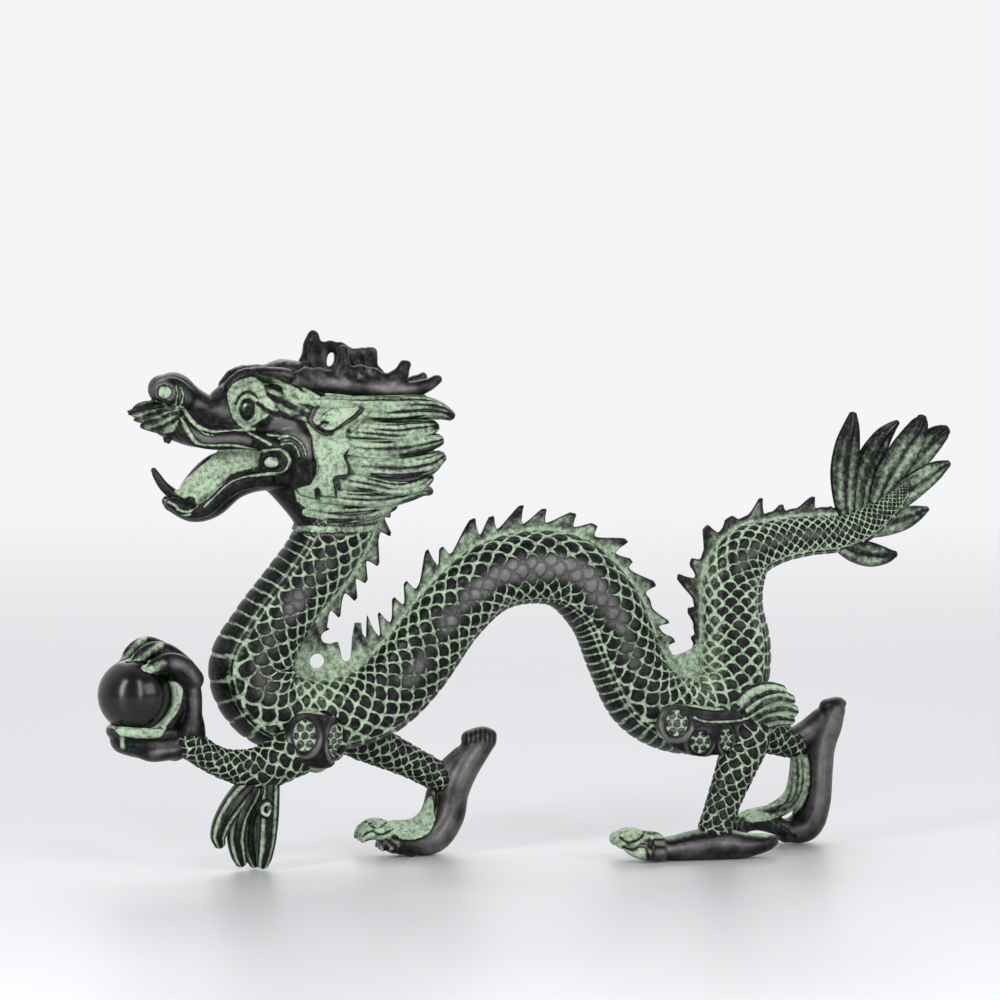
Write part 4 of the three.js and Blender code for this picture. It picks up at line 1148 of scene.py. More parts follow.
CLAWS = [
    [(-192, 106), (-197, 103.5), (-205, 101.5)],
    [(-193, 114), (-201, 109), (-209, 102)],
    [(-200, 116.5), (-205.5, 111), (-211.5, 104)],
]
HAND_SHEEN = [
    ([(-177, 98), (-182, 103.4), (-189, 105.6)], 2.2),
    ([(-177, 92), (-176.6, 82), (-177, 74)], 2.6),
    ([(-184, 64), (-192, 62.6), (-199, 60.6)], 2.8),
]


def out_of_ball(points):
    """Points inside the ball's seat are moved out along their radius."""
    arm = points - BALL
    far = np.linalg.norm(arm, axis=1, keepdims=True)
    seat = BALL_RADIUS + BALL_GAP
    return np.where(far < seat, BALL + arm / np.maximum(far, 0.1) * seat, points)


def hand_part():
    """The hand, green inside its grip and along the claws, with a painted sheen on its back."""
    points, normals, quads, tris = fused(solids(*HAND, *FINGERS, around=24), 0.68, 3)
    x, z = side_view(points, -24.0, -34.0)
    facing = facing_side(normals, 0.15)
    patina = 0.03 + 0.85 * facing * smooth(within(x, z, PALM_GREEN), -0.4, 0.8)
    near = np.linalg.norm(points - BALL, axis=1) - BALL_RADIUS
    patina += 0.85 * (1 - smooth(near, 1.5, 4.0)) * (1 - facing)
    over = smooth(points[:, 2], 98, 101)
    for line, y in zip(CLAWS, (-34, -25, -16)):
        out = points[:, 1] - y
        xs, zs = points[:, 0] - VIEW_BACK * out, points[:, 2] + VIEW_DROP * out
        patina += 1.3 * bell(off_line(xs, zs, line), 2.3) * over * bell(out, 5.5)
    patina += 0.7 * bell(off_line(x, z, THUMB_END), 1.5) * facing
    # painted sheen along the back of the hand, where it has little verdigris
    for line, width in HAND_SHEEN:
        patina -= 0.22 * bell(off_line(x, z, line), width) * facing * (1 - smooth(patina, 0.1, 0.3))
    height = -0.3 * bell(within(x, z, PALM_GREEN), 0.8) * facing
    points, quads, tris, values = skin_values(points, normals, quads, tris, height, patina, 1.0)
    return out_of_ball(points), quads, tris, values


def shoulder_part():
    """The shoulder's shield with two pebbled ovals."""
    points, normals, quads, tris = fused(solids(SHOULDER, around=28), 0.64, 2)
    x, z = side_view(points, 0.0, -27.0)
    facing = smooth(-normals[:, 1], 0.05, 0.4)
    fields = shielded(x, z, SHIELD, SHOULDER_OVALS, facing)
    return skin_values(points, normals, quads, tris, *fields)


def near_foreleg_piece():
    """Arm, shoulder, hand and the tuft at the elbow."""
    tuft = [leaf_lock(rows, 4, 0.55, 44, 0.38) for rows in ELBOW_TUFT] + [leaf_lock(CURL, 3, 0.2, 20, 0.6)]
    leg_piece("near_foreleg", shank(ARM), shoulder_part(), hand_part(), *tuft)


near_foreleg_piece()


# %% The ball
def ball_piece():
    """A sphere by latitude and longitude, with a very slightly uneven, hand-rubbed surface."""
    rows, around = 60, 96
    down = np.linspace(0, math.pi, rows + 2)[1:-1, None]
    turn = np.linspace(0, 2 * math.pi, around, endpoint=False)[None]
    wave = 0.06 * np.sin(3 * turn + 2 * down) * np.sin(down) + 0.05 * np.cos(5 * down)
    r = BALL_RADIUS - 0.12 + wave
    x, y, z = r * np.sin(down) * np.cos(turn), r * np.sin(down) * np.sin(turn), r * np.cos(down)
    ring = np.stack(np.broadcast_arrays(x, y, z), -1)
    quads, tris = tube_faces(rows, around)
    ends = np.array([[0, 0, BALL_RADIUS - 0.12], [0, 0, 0.12 - BALL_RADIUS]])
    points = BALL + np.concatenate([ring.reshape(-1, 3), ends])
    values = plain_values(np.zeros(len(points)))
    return piece("held_ball", points, quads, tris, values, "dark_polished_bronze", "ball")


held_ball = ball_piece()

# %% [markdown]
# ## The far foreleg
# It steps down behind the chest and ends in a hook-shaped foot that stands on its knuckles: a claw
# raised behind, a broad smooth back, and toes in front. The inner side of the hook is green and fluted.

# %% The far foreleg
FAR_ARM = [
    (-96, 8, 68, 12, 9), (-84, 12, 61, 11, 9), (-70, 16, 54, 9.4, 8.6), (-57, 18, 47.5, 8.2, 8),
    (-46, 18.5, 41.5, 7.8, 7.6), (-40, 19, 38, 7, 7),
]
FORE_HOOK = [
    (-19.5, 19, 58.5, 6.4, 7), (-24.5, 19, 53, 7.6, 7.4), (-31, 19, 43.5, 8.2, 8.4),
    (-35.8, 19.4, 32, 8.2, 9), (-38.4, 20, 19.5, 8.4, 10), (-46, 20, 9.4, 8.6, 11), (-56, 20, 6, 6, 10),
    (-63, 20, 4.8, 4.4, 9),
]
FORE_CLAW = [(-27, 19, 59, 4.6, 6), (-20.5, 19, 61, 4.4, 5.6), (-16.6, 19, 60.4, 3.6, 4.6)]
FORE_FILLET = [(-41, 19, 42, 5, 6), (-36, 19, 46.6, 5, 6), (-31.5, 19, 51, 4.6, 6)]
FORE_PALM = [
    (-46.5, 20, 32, 3, 5.5), (-48.6, 20, 21, 4, 7.5), (-56, 20, 14.5, 4.4, 8), (-67, 20, 14.6, 3.6, 7.5),
]
FORE_TOE_LINES = [
    [(-83, 10.6), (-78.4, 13.6), (-73, 11.8), (-67, 14.4)],
    [(-79.6, 17.4), (-75, 15), (-70.6, 17.6)],
]
FORE_SHEEN = [(-24, 54), (-31, 42), (-35, 30), (-37.5, 19), (-44, 9)]
FORE_FLUTES = [
    [(-45, 38), (-44, 28), (-45.4, 20), (-49, 12.5), (-56, 9.4)],
    [(-49, 27), (-50, 20), (-55, 15), (-64, 13.4)],
]
FORE_GREEN = [
    (-50.5, 27.5), (-47, 30.5), (-45.6, 23), (-46, 17), (-50, 10.5), (-60, 8.6), (-66.5, 12), (-70, 17.5),
    (-60, 19.5), (-53, 22.5),
]


def toes(x, y, z, length, spread_out, lift):
    """Three toes that fan out forwards, each a knuckle and a downturned claw."""
    rows = []
    for dy in (-spread_out, 0.0, spread_out):
        rows.append(
            [
                (x, y + 0.5 * dy, z, 5.2, 4.2),
                (x - 0.35 * length, y + 0.8 * dy, z + 0.5 * lift, 4.4, 3.8),
                (x - 0.68 * length, y + dy, z + lift, 4.8, 4.2),
                (x - 0.9 * length, y + 1.1 * dy, z + 0.7 * lift, 3.6, 3.2),
                (x - length, y + 1.15 * dy, z + 0.1 * lift, 1.6, 1.8),
            ]
        )
    return rows


def far_foreleg_piece():
    """The hook-shaped foot, its green inner side and mottled toes, and the scaly shank above it."""
    front = toes(-54, 20, 9, 30, 8, 5) + toes(-58, 17, 5, 16, 6, 2)
    parts = solids(FORE_HOOK, FORE_CLAW, FORE_PALM, FORE_FILLET, *front, around=24)
    points, normals, quads, tris = fused(parts, 0.7, 3)
    x, z = side_view(points, 20.0, 18.0)
    facing = facing_side(normals)
    inner = within(x, z, FORE_GREEN)
    patina = 0.85 * smooth(inner, -0.6, 0.8)
    mottle = 0.5 + 0.5 * np.sin(0.9 * x + 1.3 * np.sin(0.8 * z)) * np.sin(0.8 * z + 0.3 * x)
    toe_green = (0.5 + 0.3 * mottle) * smooth(-x, 66, 70) * smooth(z, 8, 11)
    patina += toe_green + 0.45 * mottle * smooth(-x, 60, 66)
    for line in FORE_TOE_LINES:
        patina -= 0.9 * bell(off_line(x, z, line), 0.6) * facing
    # a painted sheen over the outer side of the hook, brightest along a line down its back
    outside = facing * (1 - smooth(inner, -2, 0)) * smooth(x, -58, -50)
    patina -= (0.14 + 0.14 * bell(off_line(x, z, FORE_SHEEN), 4.4)) * outside
    flutes = bell(off_line(x, z, FORE_FLUTES[0]), 0.7) + bell(off_line(x, z, FORE_FLUTES[1]), 0.6)
    patina += 0.3 * flutes * facing + 0.5 * smooth(z, 56, 60) * bell(np.sin(x * 1.3), 0.6)
    groove = 0.9 - 3.4 * smooth(-x, 60, 66)
    foot = skin_values(points, normals, quads, tris, -0.6 * flutes * facing, patina, groove)
    leg_piece("far_foreleg", shank(FAR_ARM, 0.82), foot)


far_foreleg_piece()

# %% [markdown]
# ## The near hind leg
# A straight scaly shank under the hip shield and a long flat foot. The foot's side is plain dark metal
# with a painted sheen, its upper edge has a green line, and the toes are mottled.

# %% The near hind leg
HIND_SHANK = [
    (110, -13, 72, 13, 10), (108.5, -19, 60, 12, 9.5), (102.5, -22.5, 46, 10.4, 9), (97, -24, 33, 9, 8.6),
    (93, -25, 22, 8.6, 8.6), (91, -25, 15, 9, 9),
]
HIP = [
    (66, -19, 69, 8, 4.6), (74, -21.5, 67.5, 11.4, 6), (86, -22.3, 65.6, 12, 6), (97, -21.8, 65, 11, 6),
    (103, -20, 67, 8, 5),
]
HIP_SHIELD = [
    (60, 68), (61.5, 75), (66.5, 78.3), (79, 77.3), (88.5, 75.5), (106, 75), (108, 70), (103, 66.5),
    (101.5, 57), (95, 53.6), (80, 53.2), (71.5, 55.5), (63.5, 62.5),
]
HIP_OVALS = [(70.2, 69.6, 5.6, 6.2), (82, 60.4, 5.4, 4.9), (95.3, 61.4, 3.0, 5.2)]
HIP_LEDGE = [(79, 72.4), (84, 70.4), (94, 69.8), (104, 70.2)]
SOLE_EDGE = [(54, 12.4), (65, 12.6), (75.5, 15.2), (83, 17), (92, 16.6), (104, 14), (118, 12)]
SOLE_SHEEN = [(62, 7), (76, 8.6), (92, 9.6), (108, 8)]
TOE_CREASE = [(57.5, 13), (58.6, 8), (58.4, 3)]
NEAR_TOE_LINES = [
    [(41, 13), (45, 10.2), (50.5, 11.4), (54, 15)],
    [(42.6, 8), (47.6, 6.4), (53, 8.6), (57, 5)],
]
SOLE = [
    (56, -25, 7, 5.6, 9.5), (66, -25, 6, 5.8, 11), (80, -25, 7, 7.6, 11.4), (92, -25, 7.6, 8.4, 11.4),
    (106, -25, 6.6, 6.6, 10), (118, -24, 7.6, 4.6, 7.5), (121, -24, 8.2, 3.2, 6),
]
NEAR_TOES = [
    [(60, -30, 8, 5.4, 5), (52, -32, 10, 4.6, 4.8), (46.5, -33, 11.6, 5, 5), (40.6, -33.4, 11, 3.8, 4)],
    [(60, -24, 9, 5.4, 5), (52, -24, 10.6, 5, 4.8), (45.5, -24, 12.2, 5, 5), (39.6, -24, 11.4, 3.6, 4)],
    [(60, -18, 8.4, 5.4, 5), (53, -16.4, 9.6, 4.6, 4.6), (47, -15.6, 11, 4.6, 4.8),
     (41.6, -15, 10.4, 3.6, 3.8)],
    [(60, -34, 4.6, 4, 4), (52, -35.4, 5, 3.8, 4), (46, -36, 6.4, 3, 3.2), (42.6, -36, 7.6, 2, 2.2)],
]
HIP_LEAVES = [
    [(106, -16, 74, 6, 5), (112, -18.6, 81, 5.6, 4.8), (119, -20, 84, 4.8, 4.2),
     (126, -20.4, 83.6, 3.6, 3.4)],
    [(108, -18, 72, 6, 5), (116, -20.6, 78.4, 5, 4.6), (124, -22, 80.6, 4.2, 4), (130.4, -22, 79.4, 3, 3)],
    [(108, -18.4, 69, 6, 5), (117, -21.4, 74, 4.8, 4.6), (126, -22.4, 75.6, 4, 4),
     (132.4, -22, 74, 2.8, 3)],
    [(108, -17, 66, 6, 5), (117, -20.4, 69.6, 4.6, 4.4), (125, -21.6, 70.6, 3.8, 3.8),
     (131, -21, 69.4, 2.6, 2.8)],
]


def near_hind_piece():
    """The hip's shield, the flat foot, the scaly shank between them and the leaves behind the hip."""
    points, normals, quads, tris = fused(solids(HIP, around=28), 0.64, 2)
    x, z = side_view(points, 0.0, -28.0)
    facing = smooth(-normals[:, 1], 0.05, 0.4)
    height, patina = shielded(x, z, HIP_SHIELD, HIP_OVALS, facing)
    ledge = bell(off_line(x, z, HIP_LEDGE), 0.7) * facing
    shield = skin_values(points, normals, quads, tris, height - 0.6 * ledge, patina + 0.6 * ledge)
    parts = solids(SOLE, *NEAR_TOES, around=24)
    points, normals, quads, tris = fused(parts, 0.68, 3)
    x, z = side_view(points, -25.0, -25.0)
    facing = facing_side(normals)
    edge = off_line(x, z, SOLE_EDGE)
    patina = 0.05 + 0.7 * bell(edge, 1.0) + 0.55 * smooth(-x, -57, -53)
    patina += 0.45 * smooth(normals[:, 2], 0.6, 0.95)
    patina += (0.1 + 0.12 * np.sin(0.9 * x + 1.3 * np.sin(0.9 * z))) * smooth(-x, -58, -52)
    # a painted sheen along the side of the foot, brightest along this line
    patina -= (0.1 + 0.14 * bell(off_line(x, z, SOLE_SHEEN), 4.4)) * facing
    crease = bell(off_line(x, z, TOE_CREASE), 0.7)
    for line in NEAR_TOE_LINES:
        patina -= 0.9 * bell(off_line(x, z, line), 0.6) * facing
    groove = 0.9 - 3.4 * smooth(-x, -57, -53)
    height = -0.7 * crease - 0.3 * bell(edge - 0.8, 0.8)
    foot = skin_values(points, normals, quads, tris, height, patina + 0.3 * crease, groove)
    leaves = [leaf_lock(rows, 4, 0.5, 44, 0.72) for rows in HIP_LEAVES]
    leg_piece("near_hind_leg", shank(HIND_SHANK), shield, foot, *leaves)


near_hind_piece()

# %% [markdown]
# ## The far hind leg
# It trails behind and stands on a hooked foot like the far foreleg's, with a taller back and a fluted
# palm.

# %% The far hind leg
FAR_THIGH = [
    (98, 9, 72, 14, 11), (110, 14, 67, 12.6, 10.5), (122, 18.5, 60.6, 10.6, 9.6), (134, 22, 55.4, 8.6, 8.8),
    (144, 24, 52.6, 8, 8),
]
HIND_HOOK = [
    (166.5, 25, 69, 6, 6.6), (163.4, 25, 62, 7.6, 7.4), (159, 25, 50, 8, 8.6), (157.4, 25, 36, 8.2, 9.6),
    (156, 25, 21, 8.4, 10.4), (151, 25, 9.8, 8.8, 11), (141, 25, 6.4, 5.8, 10),
]
HIND_CLAW = [(163, 25, 70.6, 4.4, 5), (168.6, 25, 72.8, 3.2, 4.4), (171, 25, 72.4, 2.2, 3)]
HIND_FILLET = [(144, 24, 54, 6, 6), (152, 24.6, 58.4, 6, 6.4), (159.4, 25, 64.6, 5.6, 6)]
HIND_PALM = [
    (147.6, 25, 45, 4, 6.5), (147, 25, 33, 4.6, 8), (144, 25, 23.5, 4.8, 8), (134, 25, 17, 4.2, 8),
    (124, 25, 15.4, 3.6, 7),
]
HIND_SHEEN = [(164, 64), (161.6, 50), (160.6, 34), (159, 20), (152, 9)]
HIND_CREASE = [(133, 12.6), (140, 8), (146, 4)]
HIND_FLUTE = [(153, 46), (153.6, 32), (151, 20), (145, 14), (136, 14.6)]
# x, z and how much higher the next flute inwards is for each millimetre
HIND_FLUTES = [(149.6, 44, 0), (150, 32, 0), (147.4, 24, -0.2), (142, 18.4, 0.2), (132, 16.4, 0.3)]
HIND_GREEN = [
    (141, 47), (151.5, 46), (153.4, 34), (151.4, 23), (146, 15.5), (138, 14.6), (130, 12.6), (120, 13),
    (119, 19), (133, 21), (138, 25), (141, 34),
]


def far_hind_piece():
    """The tall hooked foot, its green fluted palm, and the scaly shank above it."""
    parts = solids(HIND_HOOK, HIND_CLAW, HIND_PALM, HIND_FILLET, *toes(144, 25, 7, 28, 8, 6.0), around=24)
    points, normals, quads, tris = fused(parts, 0.7, 3)
    x, z = side_view(points, 25.0, 26.0)
    facing = facing_side(normals)
    inner = within(x, z, HIND_GREEN)
    patina = 0.05 + 0.62 * smooth(inner, -0.6, 0.8) + 0.3 * smooth(-x, -126, -120)
    flutes = bell(off_line(x, z, HIND_FLUTE), 0.8)
    for k in (0.0, 3.0, 6.0):
        curve = [(px - k, pz + drop * k) for px, pz, drop in HIND_FLUTES]
        flutes = flutes + bell(off_line(x, z, curve), 0.6)
    patina -= 0.5 * flutes * facing * smooth(inner, 0, 1)
    patina += 0.4 * bell(off_line(x, z, HIND_CREASE), 0.7) * facing
    # a painted sheen over the outer side of the hook, brightest along a line down its back
    outside = facing * (1 - smooth(inner, -2, 0)) * smooth(x, 138, 144)
    patina -= (0.14 + 0.12 * bell(off_line(x, z, HIND_SHEEN), 5.0)) * outside
    foot = skin_values(points, normals, quads, tris, -0.6 * flutes * facing, patina)
    leg_piece("far_hind_leg", shank(FAR_THIGH, 0.85), foot)


far_hind_piece()

# %% [markdown]
# ## The tail
# Seven pointed leaves fan out from the end of the tail. Each is a flat limb with a midrib and fine
# strands beside it, dull green along them and dark at the rubbed edges and tips.

# %% The fan of leaves
LEAF_GREENS = (0.34, 0.34, 0.4, 0.46, 0.48, 0.48, 0.5)
LEAVES = [
    [(167, 0, 168, 4, 2.4), (164.6, -1, 180, 6, 2.6), (164.4, -1, 194, 7.4, 2.8), (166, -1, 207, 6.8, 2.6),
     (168, -1, 217, 4.6, 2.2), (169.2, 0, 223.4, 2.2, 1.4)],
    [(174, 2, 174, 5, 2.4), (175.4, 3.4, 187, 6.6, 2.8), (179.4, 4.6, 199, 7.2, 2.8),
     (185.6, 5, 210, 5.4, 2.6), (190.4, 5, 215.6, 3.4, 2), (194, 5, 218.6, 1.6, 1.2)],
    [(182, 1, 178, 5, 2.4), (188, 1, 191, 7.4, 2.8), (195.6, 0, 203, 7.8, 2.8),
     (201.6, -1, 212.6, 6.6, 2.6), (204.6, -1, 218.6, 4.6, 2.2), (205.6, -1, 221.4, 2.6, 1.6)],
    [(186, 3, 180, 5, 2.4), (196, 4, 192, 6.8, 2.8), (206, 4.6, 202.6, 7.2, 2.8), (213.6, 5, 210, 6.2, 2.6),
     (218.4, 5, 213.4, 4.4, 2), (220.4, 5, 214.6, 2.8, 1.6)],
    [(184, 1, 174, 4.6, 2.4), (194, 0, 181, 6.8, 2.8), (204.6, -1, 188.6, 6.4, 2.8),
     (213, -2, 194.4, 4.8, 2.4), (219.2, -2, 197.6, 2, 1.4)],
    [(174, 2, 163.6, 4.4, 2.6), (186, 3, 166.6, 6.4, 3), (197, 3.6, 169.4, 6.2, 2.8),
     (204.6, 4, 172, 4.2, 2.4), (209.8, 4, 174, 1.6, 1.2)],
    [(161, 0, 158, 4, 4), (169, -2, 154, 6, 4.6), (178, -3, 151.6, 6.4, 4), (186, -3.4, 151, 4.4, 3.2),
     (190.6, -3.4, 151.6, 2, 1.6)],
]


def leaf(rows, green):
    """A flat pointed leaf: a raised midrib, fine strands that close up at the tip, and a thin dark edge."""
    limb = Limb(rows, 0.8, 56)
    s, angle = limb.grid()
    share = np.cos(angle)
    way = s / limb.length
    slim = np.clip(limb.high / 5, 0.15, 1)
    midrib = bell(share, 0.16)
    strand = np.cos(8.5 * share + 0.5 * np.sin(s / 9 + rows[0][2]))
    flat = 1 - np.abs(share) ** 6
    limb.raise_by(slim * flat * (0.4 * midrib + 0.3 * strand))
    tip = smooth(way, 0.74, 0.95)
    edge = smooth(np.abs(share), 0.84, 0.98)
    worn = np.sin(s / 13 + rows[0][0]) * np.sin(1.5 * share + rows[0][2])
    patina = green - 0.08 * strand - 0.14 * midrib - 0.3 * edge - 0.24 * tip + 0.14 * worn
    return limb_arrays(limb, patina)


piece("tail_fan", *joined(*[leaf(rows, green) for rows, green in zip(LEAVES, LEAF_GREENS)]))

# %% [markdown]
# ## Shader maths as expressions
# Node trees read badly as lists of links. The class below wraps one socket, so that a mask is written
# as 1 - r.step(0.8, 0.9) and the Math nodes appear by themselves. Any other node comes from node().

# %% Sockets that do sums
class Value:
    """A number that varies over the surface: one output socket of a node tree."""

    def __init__(self, tree, output):
        self.tree, self.output = tree, output

    def node(self, kind, settings=None, inputs=None, out=0):
        """A new node: its settings first, then its sockets, by name or index, as values or links."""
        made = self.tree.nodes.new(kind)
        for key, value in (settings or {}).items():
            setattr(made, key, value)
        for key, value in (inputs or {}).items():
            if isinstance(value, Value):
                self.tree.links.new(value.output, made.inputs[key])
            else:
                made.inputs[key].default_value = value
        return Value(self.tree, made.outputs[out])

    def maths(self, operation, *others):
        """One Math node on this number and others."""
        return self.node("ShaderNodeMath", {"operation": operation}, dict(enumerate((self, *others))))

    def __add__(self, other):
        return self.maths("ADD", other)

    __radd__ = __add__

    def __mul__(self, other):
        return self.maths("MULTIPLY", other)

    __rmul__ = __mul__

    def __sub__(self, other):
        return self.maths("SUBTRACT", other)

    def __rsub__(self, other):
        return (self * -1.0) + other

    def __abs__(self):
        return self.maths("ABSOLUTE")

    def __pow__(self, other):
        return self.maths("POWER", other)

    def fract(self):
        return self.maths("FRACT")

    def sine(self):
        return self.maths("SINE")

    def step(self, low, high, start=0.0, end=1.0):
        """start below low, end above high, and a smooth cubic between them."""
        inputs = {"Value": self, "From Min": low, "From Max": high, "To Min": start, "To Max": end}
        return self.node("ShaderNodeMapRange", {"interpolation_type": "SMOOTHSTEP"}, inputs)

    def mix(self, first, second):
        """first where this is 0 and second where it is 1, both colours."""
        settings = {"data_type": "RGBA", "clamp_factor": True}
        return self.node("ShaderNodeMix", settings, {0: self, 6: first, 7: second}, out=2)

    def noise(self, scale, detail=3.0, rough=0.55):
        """Cloudy noise from 0 to 1 on these coordinates, scale blobs to the metre."""
        inputs = {"Vector": self, "Scale": scale, "Detail": detail, "Roughness": rough}
        return self.node("ShaderNodeTexNoise", {}, inputs)

    def bump(self, strength, distance, height):
        """Normals of a surface raised by height, distance metres for each unit."""
        inputs = {"Strength": strength, "Distance": distance, "Height": height}
        return self.node("ShaderNodeBump", {}, inputs)

    def stored(self, name):
        """A number stored on the points of the mesh."""
        return self.node("ShaderNodeAttribute", {"attribute_name": name}, out=2)


def new_material(name):
    """An empty material: its tree, its Principled shader, and the points' coordinates as a Value."""
    material = bpy.data.materials.new(name)
    material.use_nodes = True
    tree = material.node_tree
    shader = tree.nodes["Principled BSDF"]
    coordinates = tree.nodes.new("ShaderNodeTexCoord")
    return material, shader, Value(tree, coordinates.outputs["Object"])


def feed(shader, **sockets):
    """Sets or links the shader's sockets, with _ for a space in a name."""
    for name, value in sockets.items():
        socket = shader.inputs[name.replace("_", " ")]
        if isinstance(value, Value):
            value.tree.links.new(value.output, socket)
        else:
            socket.default_value = value


# %% [markdown]
# ## Bronze with verdigris
# The casting was darkened, washed with a green copper salt, and rubbed back. So one number decides
# almost everything: how much verdigris is left at a place. Green places are pale, chalky and not
# metallic. Places without verdigris are near black, and where the patina is lowest they are painted
# with a brown-grey sheen. The stored patina gives the broad areas, the scale pattern gives the thin
# green lines, and noise breaks up both.

# %% The bronze material
BLACK = (0.008, 0.0082, 0.008, 1)
# painted sheen: the brown-grey shine of glossy metal, put into the colour where there is no verdigris
SHEEN_GREY = (0.165, 0.157, 0.16, 1)
DUSTY = (0.040, 0.042, 0.040, 1)
GREEN = (0.22, 0.285, 0.20, 1)
PALE_GREEN = (0.44, 0.575, 0.41, 1)
OLD_GREEN = (0.12, 0.148, 0.108, 1)
LINE_FROM, LINE_TO = 0.79, 0.92  # where a scale's green edge starts and is full, as parts of its half width


def bronze_material(name, scaled):
    """Black and worn metal under verdigris, which is patina, noise and scale edges added up."""
    material, shader, place = new_material(name)
    patina = place.stored("patina")
    clouds = place.noise(60.0, 4.0)
    spots = place.noise(420.0, 4.0, 0.65)
    grain = place.noise(1700.0, 2.0)
    verdigris = patina + (spots - 0.5) * 0.55 + (clouds - 0.5) * 0.45
    relief = grain * 0.2 + spots * 0.5
    if scaled:
        counts = place.node("ShaderNodeUVMap", {"uv_map": "scales"})
        split = counts.node("ShaderNodeSeparateXYZ", {}, {"Vector": counts})
        wander = place.noise(85.0, 1.0)
        u = split + (wander - 0.5) * 0.16
        v = Value(split.tree, split.output.node.outputs[1]) + (clouds - 0.5) * 0.12
        a, b = u + v, u - v
        p = abs((a - EDGE_CURVE * (b.fract() * math.pi).sine()).fract() * 2.0 - 1.0)
        q = abs((b - EDGE_CURVE * (a.fract() * math.pi).sine()).fract() * 2.0 - 1.0)
        r = (p ** 4.0 + q ** 4.0) ** 0.25
        scaly = place.stored("scaly")
        edge = (r + (spots - 0.5) * 0.14 + scaly.step(1.0, 1.4, 0.0, 0.16)).step(LINE_FROM, LINE_TO) * scaly
        verdigris = verdigris + edge * (0.05 + 0.9 * clouds + 0.35 * spots)
        relief = relief - edge * 1.6
        near_edge = r.step(0.5, 1.0) * scaly
    else:
        near_edge = 0.0
    amount = verdigris.step(0.2, 0.7)
    # how much painted sheen shows where the patina is low, kept to the middle of each scale as a highlight
    # on its dome
    bare_sheen = (patina + (clouds - 0.5) * 0.9 + (spots - 0.5) * 0.3).step(-0.42, 0.02, 1.0, 0.0)
    bare_sheen = bare_sheen * (1.0 - 0.65 * near_edge)
    dark = bare_sheen.mix(spots.step(0.45, 0.75).mix(BLACK, DUSTY), SHEEN_GREY)
    pale = (spots * 0.8 + verdigris * 0.45).step(0.5, 1.0).mix(GREEN, PALE_GREEN)
    aged = (grain * 0.4 + spots * 0.6).step(0.36, 0.52).mix(OLD_GREEN, pale)
    colour = amount.mix(dark, aged)
    normal = place.bump(0.5, 0.0005, relief - amount * 0.3)
    feed(
        shader,
        Base_Color=colour,
        Metallic=amount.step(0.1, 0.7, 0.6, 0.0),
        Roughness=amount * 0.4 + spots * 0.2 + 0.28,
        Normal=normal,
        Specular_IOR_Level=0.22,
    )
    return material


# %% The ball's material
BALL_DARK = (0.0025, 0.0025, 0.003, 1)
BALL_LIGHT = (0.007, 0.007, 0.0075, 1)


def ball_material():
    """Almost black polished bronze with a clear shine."""
    material, shader, place = new_material("ball_bronze")
    clouds = place.noise(90.0, 3.0)
    spots = place.noise(600.0, 3.0)
    colour = clouds.step(0.35, 0.7).mix(BALL_DARK, BALL_LIGHT)
    normal = place.bump(0.15, 0.0003, spots)
    feed(
        shader,
        Base_Color=colour,
        Metallic=0.0,
        Roughness=clouds * 0.1 + spots * 0.06 + 0.14,
        Normal=normal,
        Specular_IOR_Level=0.5,
    )
    return material


scaled_bronze = bronze_material("scaled_bronze", scaled=True)
cast_bronze = bronze_material("cast_bronze", scaled=False)
polished_bronze = ball_material()
for made in bronze_pieces:
    if made is held_ball:
        made.data.materials.append(polished_bronze)
    else:
        made.data.materials.append(scaled_bronze if made.data.uv_layers else cast_bronze)

# %% [markdown]
# ## Floor, light and camera
# A plain pale floor in a pale room, and four soft lamps: two tall narrow ones for the bright streaks on
# the metal, a fill and a back light. The room is dark behind the camera, so that the metal stays black,
# and bright behind the bronze. The camera stands three metres off, a little left of square on, higher
# than the horns and looking slightly down, with a long lens.

# %% The floor
FLOOR_HALF = 6.0
FLOOR_COLOUR = (0.62, 0.62, 0.64, 1)


def floor():
    """A square floor that fades away at the edges."""
    mesh = bpy.data.meshes.new("floor")
    half = FLOOR_HALF
    corners = [(-half, -half, 0), (half, -half, 0), (half, half, 0), (-half, half, 0)]
    mesh.from_pydata(corners, [], [(0, 1, 2, 3)])
    made = bpy.data.objects.new("floor", mesh)
    bpy.context.collection.objects.link(made)
    material, shader, place = new_material("pale_floor")
    far = place.node("ShaderNodeVectorMath", {"operation": "LENGTH"}, {0: place}, out=1)
    feed(
        shader,
        Base_Color=FLOOR_COLOUR,
        Roughness=place.noise(3.0) * 0.1 + 0.32,
        Alpha=far.step(0.9, 2.6, 1.0, 0.0),
    )
    mesh.materials.append(material)


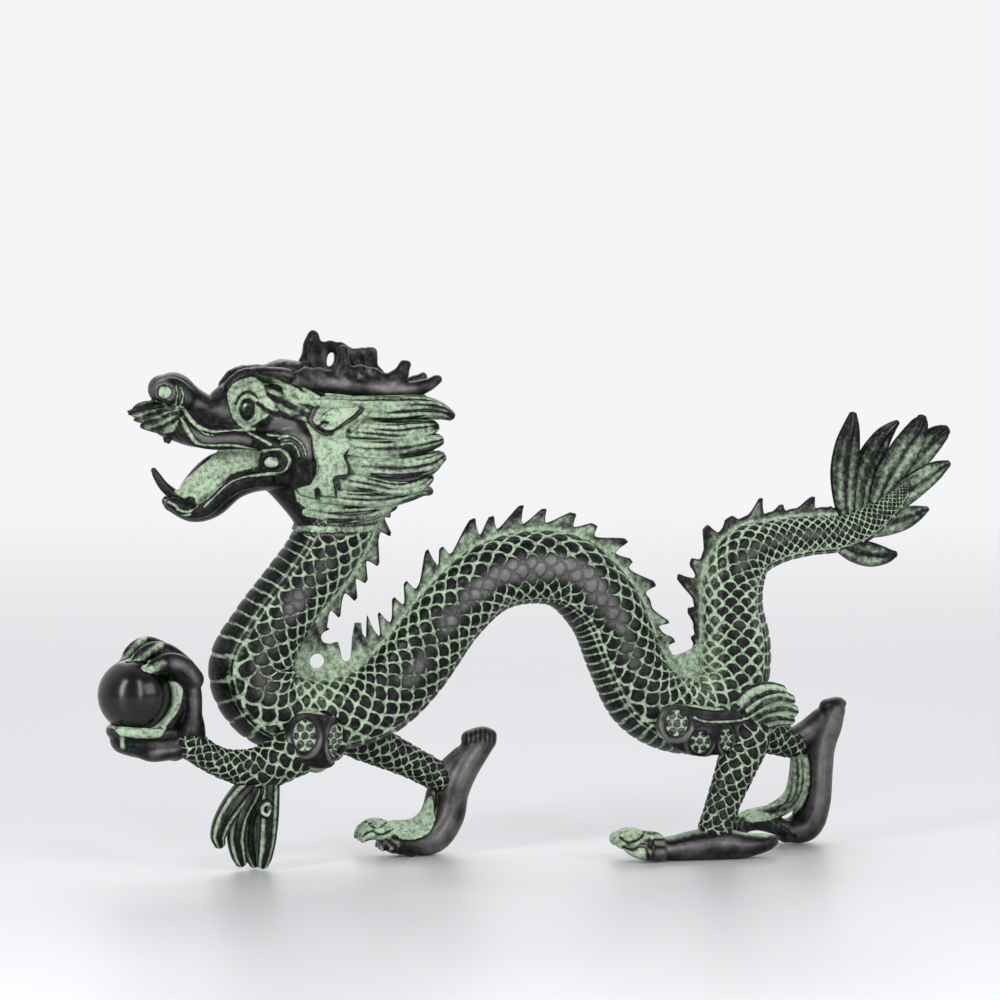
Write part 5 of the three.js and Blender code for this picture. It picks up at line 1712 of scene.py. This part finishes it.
def lamp(name, at, aim, wide, high, power):
    """An area lamp at a place, turned to face another, in metres and watts."""
    data = bpy.data.lights.new(name, "AREA")
    data.shape = "RECTANGLE"
    data.size = wide
    data.size_y = high
    data.energy = power
    made = bpy.data.objects.new(name, data)
    bpy.context.collection.objects.link(made)
    made.location = at
    made.rotation_euler = (Vector(aim) - Vector(at)).to_track_quat("-Z", "Y").to_euler()


floor()

# %% The lamps and the room
AIM = (0.0, 0.0, 0.12)
lamp("key", (-1.25, -1.0, 0.78), AIM, 0.32, 1.5, 16)
lamp("second_key", (0.12, -1.42, 0.78), AIM, 0.22, 1.5, 9)
lamp("fill", (1.7, -1.9, 1.1), AIM, 1.6, 1.6, 26)
lamp("back", (0.3, 1.8, 1.7), AIM, 1.8, 1.8, 22)
ROOM_COLOUR = (0.86, 0.86, 0.88, 1)
FRONT_WALL, BACK_WALL = 0.2, 1.06  # brightness of the room behind the camera and behind the bronze
scene = bpy.context.scene
scene.view_settings.view_transform = "Standard"
scene.world = scene.world or bpy.data.worlds.new("studio")
scene.world.use_nodes = True
backdrop = scene.world.node_tree.nodes["Background"]
backdrop.inputs["Color"].default_value = ROOM_COLOUR
world_tree = scene.world.node_tree
direction = Value(world_tree, world_tree.nodes.new("ShaderNodeTexCoord").outputs["Generated"])
behind = direction.node("ShaderNodeSeparateXYZ", {}, {"Vector": direction}, out=1)
seen = Value(world_tree, world_tree.nodes.new("ShaderNodeLightPath").outputs["Is Camera Ray"])
wall = behind.step(-0.5, 0.5, FRONT_WALL, BACK_WALL)
world_tree.links.new((wall + seen * (BACK_WALL - wall)).output, backdrop.inputs["Strength"])

# %% The camera
TURN = math.radians(12.0)
TILT = math.radians(3.93)
CAMERA_AT = (np.array([-644.5, -2959.9, 390.0]) - MIDDLE) / 1000
LENS = 216.0

lens = bpy.data.cameras.new("camera")
lens.lens = LENS
camera = bpy.data.objects.new("camera", lens)
bpy.context.collection.objects.link(camera)
camera.location = CAMERA_AT
ahead = Vector((math.sin(TURN) * math.cos(TILT), math.cos(TURN) * math.cos(TILT), -math.sin(TILT)))
camera.rotation_euler = ahead.to_track_quat("-Z", "Y").to_euler()
scene.camera = camera
